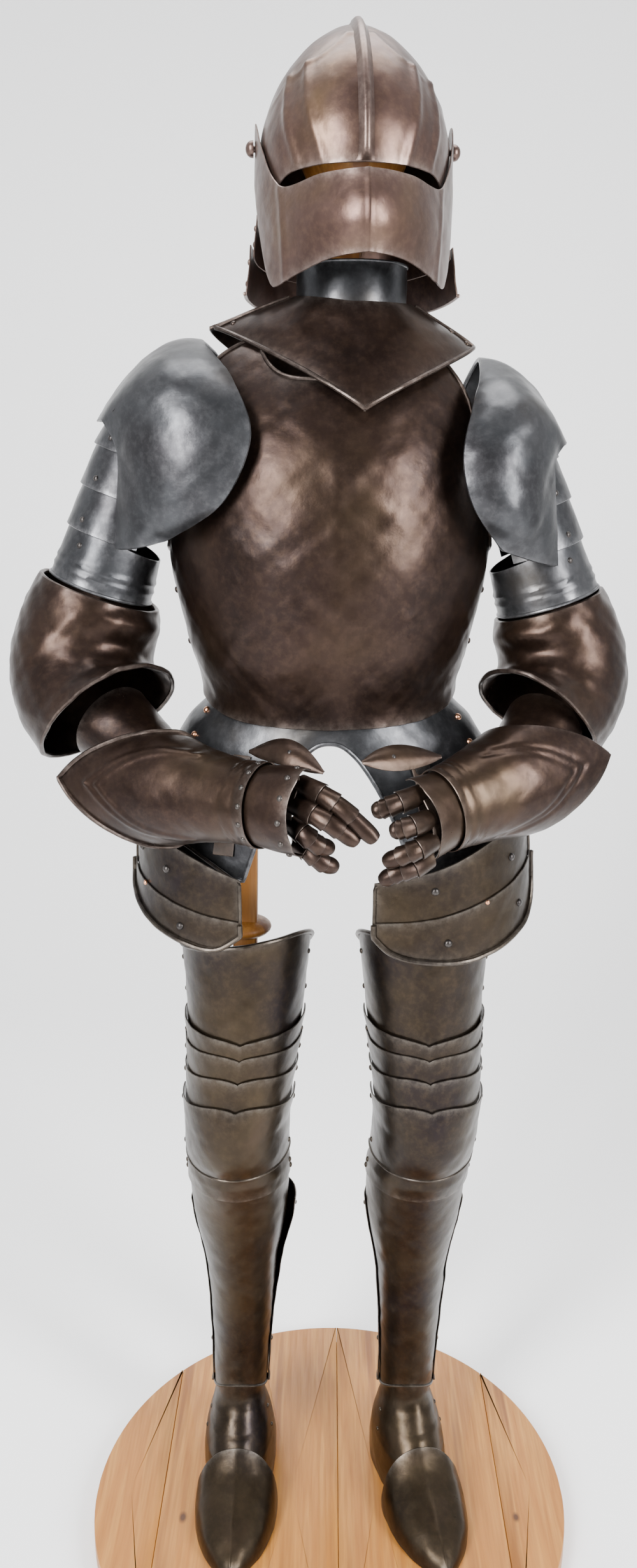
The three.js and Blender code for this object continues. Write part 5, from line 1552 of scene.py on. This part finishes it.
for side in ("right", "left"):
    front, reach = couter_place[side]["front"], hand_reach[side]
    couter = Piece(f"couter_steel_{side}")
    form = couter_form(side)
    plate(couter, form, (-180, 180), 0, lambda turn: couter_end(turn * front), step=5, dents=0.5,
          rolled=("low", "high"), radius=2.8)
    rivets(couter, form, (front * 8, 50), radius=4, coat=1)
    couter.make([RUSSET, DARK], f"couter_{side}")
    vambrace = Piece(f"vambrace_steel_{side}")
    plate(vambrace, limb_form(side, lower_arm[side], vambrace_rows), (-180, 180), 0, VAMBRACE_REACH[side],
          step=5, dents=0.3)
    vambrace.make([RUSSET], f"vambrace_{side}")

    form = limb_form(side, forearm[side], cuff_rows)
    tip = 205 * reach["scale"]

    def raised(turn, level, place):
        """The double chevron, and three bands round the wrist."""
        height = 0
        for gap in (0, 13):
            for turn_end, level_end in CHEVRON_FEET[side]:
                arm = line_on(form, (0, tip - 26 - gap * 1.2), (turn_end * 0.55, tip * 0.60 - gap),
                              (turn_end, level_end - gap))
                height = height + along_path(place, arm, 5.5, 1.5, 1.3)
        for band in (8, 20, 26):
            height = height + 0.9 * np.exp(-((level - reach["cuff"] - band) / 2.2) ** 2)
        return height

    cuff = Piece(f"gauntlet_cuff_steel_{side}")
    plate(cuff, form, (-180, 180), reach["cuff"], lambda turn: reach["scale"] * cuff_end(turn), step=3.6,
          relief=raised, rolled=("high",), radius=2.8)
    rivets(cuff, form, *[(turn, reach["cuff"] + 5) for turn in range(-75, 76, 25)], radius=3.2, coat=1)
    cuff.make([RUSSET, DARK], f"gauntlet_cuff_{side}")
print("elbows and forearms are made")

# %% [markdown]
# ## Hands
# Each finger is a row of small scales riveted to a glove, every one lapping the next towards the tip, so that
# the finger can bend. A scale is a short gutter swept along the line of its finger.

# %% Finger scales
finger_lines = {
    "right": dict(
        index=((-34, -178, 1074), (-8, -205, 1068), (12, -216, 1057), (46, -222, 1026)),
        middle=((-40, -186, 1055), (-16, -213, 1050), (4, -221, 1040), (28, -219, 1022)),
        ring=((-42, -184, 1033), (-28, -205, 1028), (-12, -208, 1016), (4, -200, 1008)),
        little=((-36, -176, 1010), (-22, -192, 1004), (-8, -196, 993), (8, -190, 984))),
    "left": dict(
        index=((100, -168, 1060), (72, -192, 1056), (56, -197, 1051), (46, -196, 1048)),
        middle=((110, -182, 1038), (86, -205, 1035), (72, -209, 1032), (64, -208, 1030)),
        ring=((112, -188, 1016), (92, -210, 1012), (76, -213, 1006), (57, -207, 996)),
        little=((108, -184, 995), (88, -200, 988), (70, -204, 983), (54, -200, 973)))}
FINGER_BACK = np.array([0, -0.94, 0.34])
SCALES = ((0.00, 0.30, 11.0), (0.26, 0.56, 10.2), (0.51, 0.79, 9.4), (0.74, 1.02, 8.7))  # from, to, half width
SCALE_TURN, SCALE_SINK = 98, 8.2  # degrees it reaches round each side, and mm from the line in to its middle


def scale_on(piece, line, start, end, half, back, tip=False):
    """One finger scale: a short gutter over the finger that flares a little where it laps the next."""
    t = np.linspace(start, end, 11)
    spot = spline(line, np.clip(t, 0, 1))
    over = (t - 1).clip(0)[:, None]
    ways = unit(np.gradient(spline(line, np.linspace(0, 1, 101)), axis=0))
    ahead = ways[np.clip((t * 100).astype(int), 1, 99)]
    spot = spot + ahead * over * 60
    out = unit(back - ahead * (ahead @ back)[:, None])
    across = np.cross(ahead, out)
    turn = np.radians(np.linspace(SCALE_TURN, -SCALE_TURN, 17))
    u = np.linspace(0, 1, 11)[:, None]
    rounded = np.sqrt(1 - (np.clip(u - 0.55, 0, 1) / 0.47) ** 2 * 0.55) if tip else 1
    size = half * (0.93 + 0.11 * u**2) * rounded
    bow = 2.6 * (np.cos(turn)[None] - 0.4) * u**2
    grid = (spot[:, None] + out[:, None] * ((np.cos(turn)[None] * size * 0.92 - SCALE_SINK)[..., None])
            + across[:, None] * (np.sin(turn)[None] * size)[..., None] + ahead[:, None] * bow[..., None])
    wall(piece, np.swapaxes(grid, 0, 1), thick=1.2, dents=0.0)
    if not tip:
        middle = spot[3] - out[3] * SCALE_SINK
        for s in (4, 12):
            rivet(piece, grid[3, s], unit(grid[3, s] - middle), radius=1.7, sides=8, rings=3)


print("each finger has", len(SCALES), "scales")

# %% [markdown]
# The back of the hand is one plate riveted to the cuff, its lower edge scalloped over the knuckles. A leaf
# shaped plate, pointed at both ends, guards the thumb.

# %% Hands and fingers
thumb_leaf = {"right": ((-86, -118, 1092), (-48, -146, 1100), (-6, -172, 1082)),
              "left": ((120, -126, 1088), (74, -148, 1094), (34, -168, 1092))}
THUMB_BACK = {"right": np.array([-0.12, -0.80, 0.58]), "left": np.array([0.12, -0.80, 0.58])}


def thumb_plate(piece, stops, back):
    """A leaf of steel, pointed at both ends and bowed across."""
    t = np.linspace(0, 1, 27)
    spot = spline(stops, t)
    ahead = unit(np.gradient(spot, axis=0))
    out = unit(back - ahead * (ahead @ back)[:, None])
    across = np.cross(ahead, out)
    u = np.linspace(-1, 1, 11)
    half = (14.5 * np.sin(np.pi * np.clip(t, 0.015, 0.985)) ** 0.8)[:, None]
    sideways, bow = (half * u[None])[..., None], (half * 0.32 * u[None] ** 2)[..., None]
    grid = spot[:, None] + across[:, None] * sideways - out[:, None] * bow
    wall(piece, np.swapaxes(grid, 0, 1)[::-1], thick=1.3, dents=0.1)
    rivet(piece, grid[15, 5], out[15], radius=3.0, coat=1)


for side in ("right", "left"):
    reach = hand_reach[side]
    hand = Piece(f"gauntlet_hand_steel_{side}")
    form = limb_form(side, forearm[side], hand_rows)
    scallop = lambda turn: reach["low"] + 3.0 * np.abs(np.cos(np.radians(turn) * 2)) - 3
    plate(hand, form, (-100, 100), scallop, reach["high"], step=3, dents=0.2)
    rivets(hand, form, *[(turn, reach["low"] + 9) for turn in (-78, -46, -14, 18, 50, 80)], radius=3.4, coat=1)
    hand.make([RUSSET, DARK], f"gauntlet_hand_{side}")

    fingers = Piece(f"gauntlet_fingers_steel_{side}")
    for line in finger_lines[side].values():
        for k, (start, end, half) in enumerate(SCALES):
            scale_on(fingers, line, start, end, half, FINGER_BACK, tip=k == len(SCALES) - 1)
    starts = np.array([line[0] for line in finger_lines[side].values()], float)
    seconds = np.array([line[1] for line in finger_lines[side].values()], float)
    spread = unit(starts[0] - starts[-1]) * 9.5
    way = unit(unit(seconds - starts).sum(0))
    rail = spline([starts[0] + spread, *starts, starts[-1] - spread], np.linspace(0, 1, 40))
    strip = np.stack([rail + way * far - FINGER_BACK * 0.8 for far in np.linspace(5, -4, 6)], 1)
    wall(fingers, strip, thick=1.4, dents=0.1)
    thumb_plate(fingers, thumb_leaf[side], THUMB_BACK[side])
    fingers.make([RUSSET, DARK], f"gauntlet_fingers_{side}")
print("hands are made")

# %% [markdown]
# ## Studio
# The suit stands on plain pale paper that curves up behind it, so that no line shows where a floor would
# meet a wall. The floor is stage only: it goes with no body and stands for no node.

# %% Floor
BEND_AT, BEND_RADIUS = 1.6, 1.2  # metres behind the suit where the paper starts to rise, and how it curves
FLOOR_FRONT, FLOOR_TOP, FLOOR_HALF = -6, 6.0, 7  # metres
floor_mesh = bpy.data.meshes.new("floor")
bend = [(FLOOR_FRONT, 0.0), (BEND_AT, 0.0)]
bend += [(BEND_AT + BEND_RADIUS * math.sin(a), BEND_RADIUS - BEND_RADIUS * math.cos(a))
         for a in np.linspace(0.1, math.pi / 2, 14)]
bend.append((BEND_AT + BEND_RADIUS, FLOOR_TOP))
floor_points = [(x, y, z) for y, z in bend for x in (-FLOOR_HALF, FLOOR_HALF)]
strips = [(2 * k, 2 * k + 1, 2 * k + 3, 2 * k + 2) for k in range(len(bend) - 1)]
floor_mesh.from_pydata(floor_points, [], strips)
floor_mesh.shade_smooth()
floor = bpy.data.objects.new("floor", floor_mesh)
bpy.context.scene.collection.objects.link(floor)
paper, _, paper_shader = blank("pale paper", 0.0, 0.85)
paper_shader.inputs["Base Color"].default_value = (0.93, 0.93, 0.93, 1)
floor_mesh.materials.append(paper)
floor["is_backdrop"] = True
print("the floor has", len(floor_mesh.polygons), "strips")

# %% [markdown]
# Two big soft lights stand in front, the stronger one high at the suit's right, because broad panels draw
# long soft highlights on curved steel and show its shape. A weak light overhead lifts the helmet and shoulders.
# The room itself is bright behind the suit and darker in front, so that the steel shows dark between the
# highlights.

# %% Lights
def soft_light(name, place, target, size, power):
    """A rectangle of light at a place, turned to face its target."""
    lamp = bpy.data.lights.new(name, "AREA")
    lamp.shape, lamp.size, lamp.size_y = "RECTANGLE", *size
    lamp.energy = power
    obj = bpy.data.objects.new(name, lamp)
    obj.location = place
    way = np.array(place, float) - target
    obj.rotation_euler = (math.acos(way[2] / np.linalg.norm(way)), 0, math.atan2(way[1], way[0]) + math.pi / 2)
    bpy.context.scene.collection.objects.link(obj)
    obj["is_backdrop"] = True


soft_light("key panel", (-1.7, -2.3, 2.3), (0, 0, 1.2), (0.9, 2.2), 260)
soft_light("fill panel", (2.2, -1.9, 1.9), (0, 0, 1.1), (0.7, 2.0), 190)
soft_light("top panel", (0.0, 0.4, 3.3), (0, 0, 1.4), (1.8, 1.2), 60)
world = bpy.data.worlds.new("white room")
world.use_nodes = True
room = world.node_tree
toward = node_of(room, "ShaderNodeSeparateXYZ")
room.links.new(node_of(room, "ShaderNodeTexCoord").outputs["Generated"], toward.inputs[0])
ROOM_FRONT, ROOM_BACK = 0.42, 1.5  # how bright the room is in front of the suit and behind it
strength = spread_of(room, toward.outputs["Y"], ROOM_FRONT, ROOM_BACK, -0.55, 0.35)
room.links.new(strength, room.nodes["Background"].inputs["Strength"])
room.nodes["Background"].inputs["Color"].default_value = (0.97, 0.98, 1.0, 1)
bpy.context.scene.world = world
print("lights:", ", ".join(light.name for light in bpy.data.lights))

# %% [markdown]
# The camera stands close, at the height of the chest, with a wide lens, and looks down a little. From there
# the tops of the feet and of the plinth can be seen.

# %% Camera
camera_data = bpy.data.cameras.new("camera")
camera_data.lens, camera_data.sensor_width = 27.77, 36.0
camera_data.shift_x = -0.0069
camera = bpy.data.objects.new("camera", camera_data)
camera.location = (0.0, -1.389, 1.423)
camera.rotation_euler = (math.radians(90 - 14.95), 0, 0)
bpy.context.scene.collection.objects.link(camera)
bpy.context.scene.camera = camera
print("the camera looks", round(90 - math.degrees(camera.rotation_euler[0]), 2), "degrees down")

# %% [markdown]
# ## The last check
# The finished suit is measured once more, to compare it with the CAD model that it dresses, and then every
# piece is checked for a body, a slot and the node it stands for.

# %% Sizes and faces
shown_low, shown_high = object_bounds()
shown_size = [round(high - low, 3) for low, high in zip(shown_low, shown_high)]
print("the finished suit measures", shown_size, "metres")
shown = [obj for obj in bpy.data.objects if obj.type == "MESH" and not obj.hide_render]
print("faces in all:", sum(len(obj.data.polygons) for obj in shown))
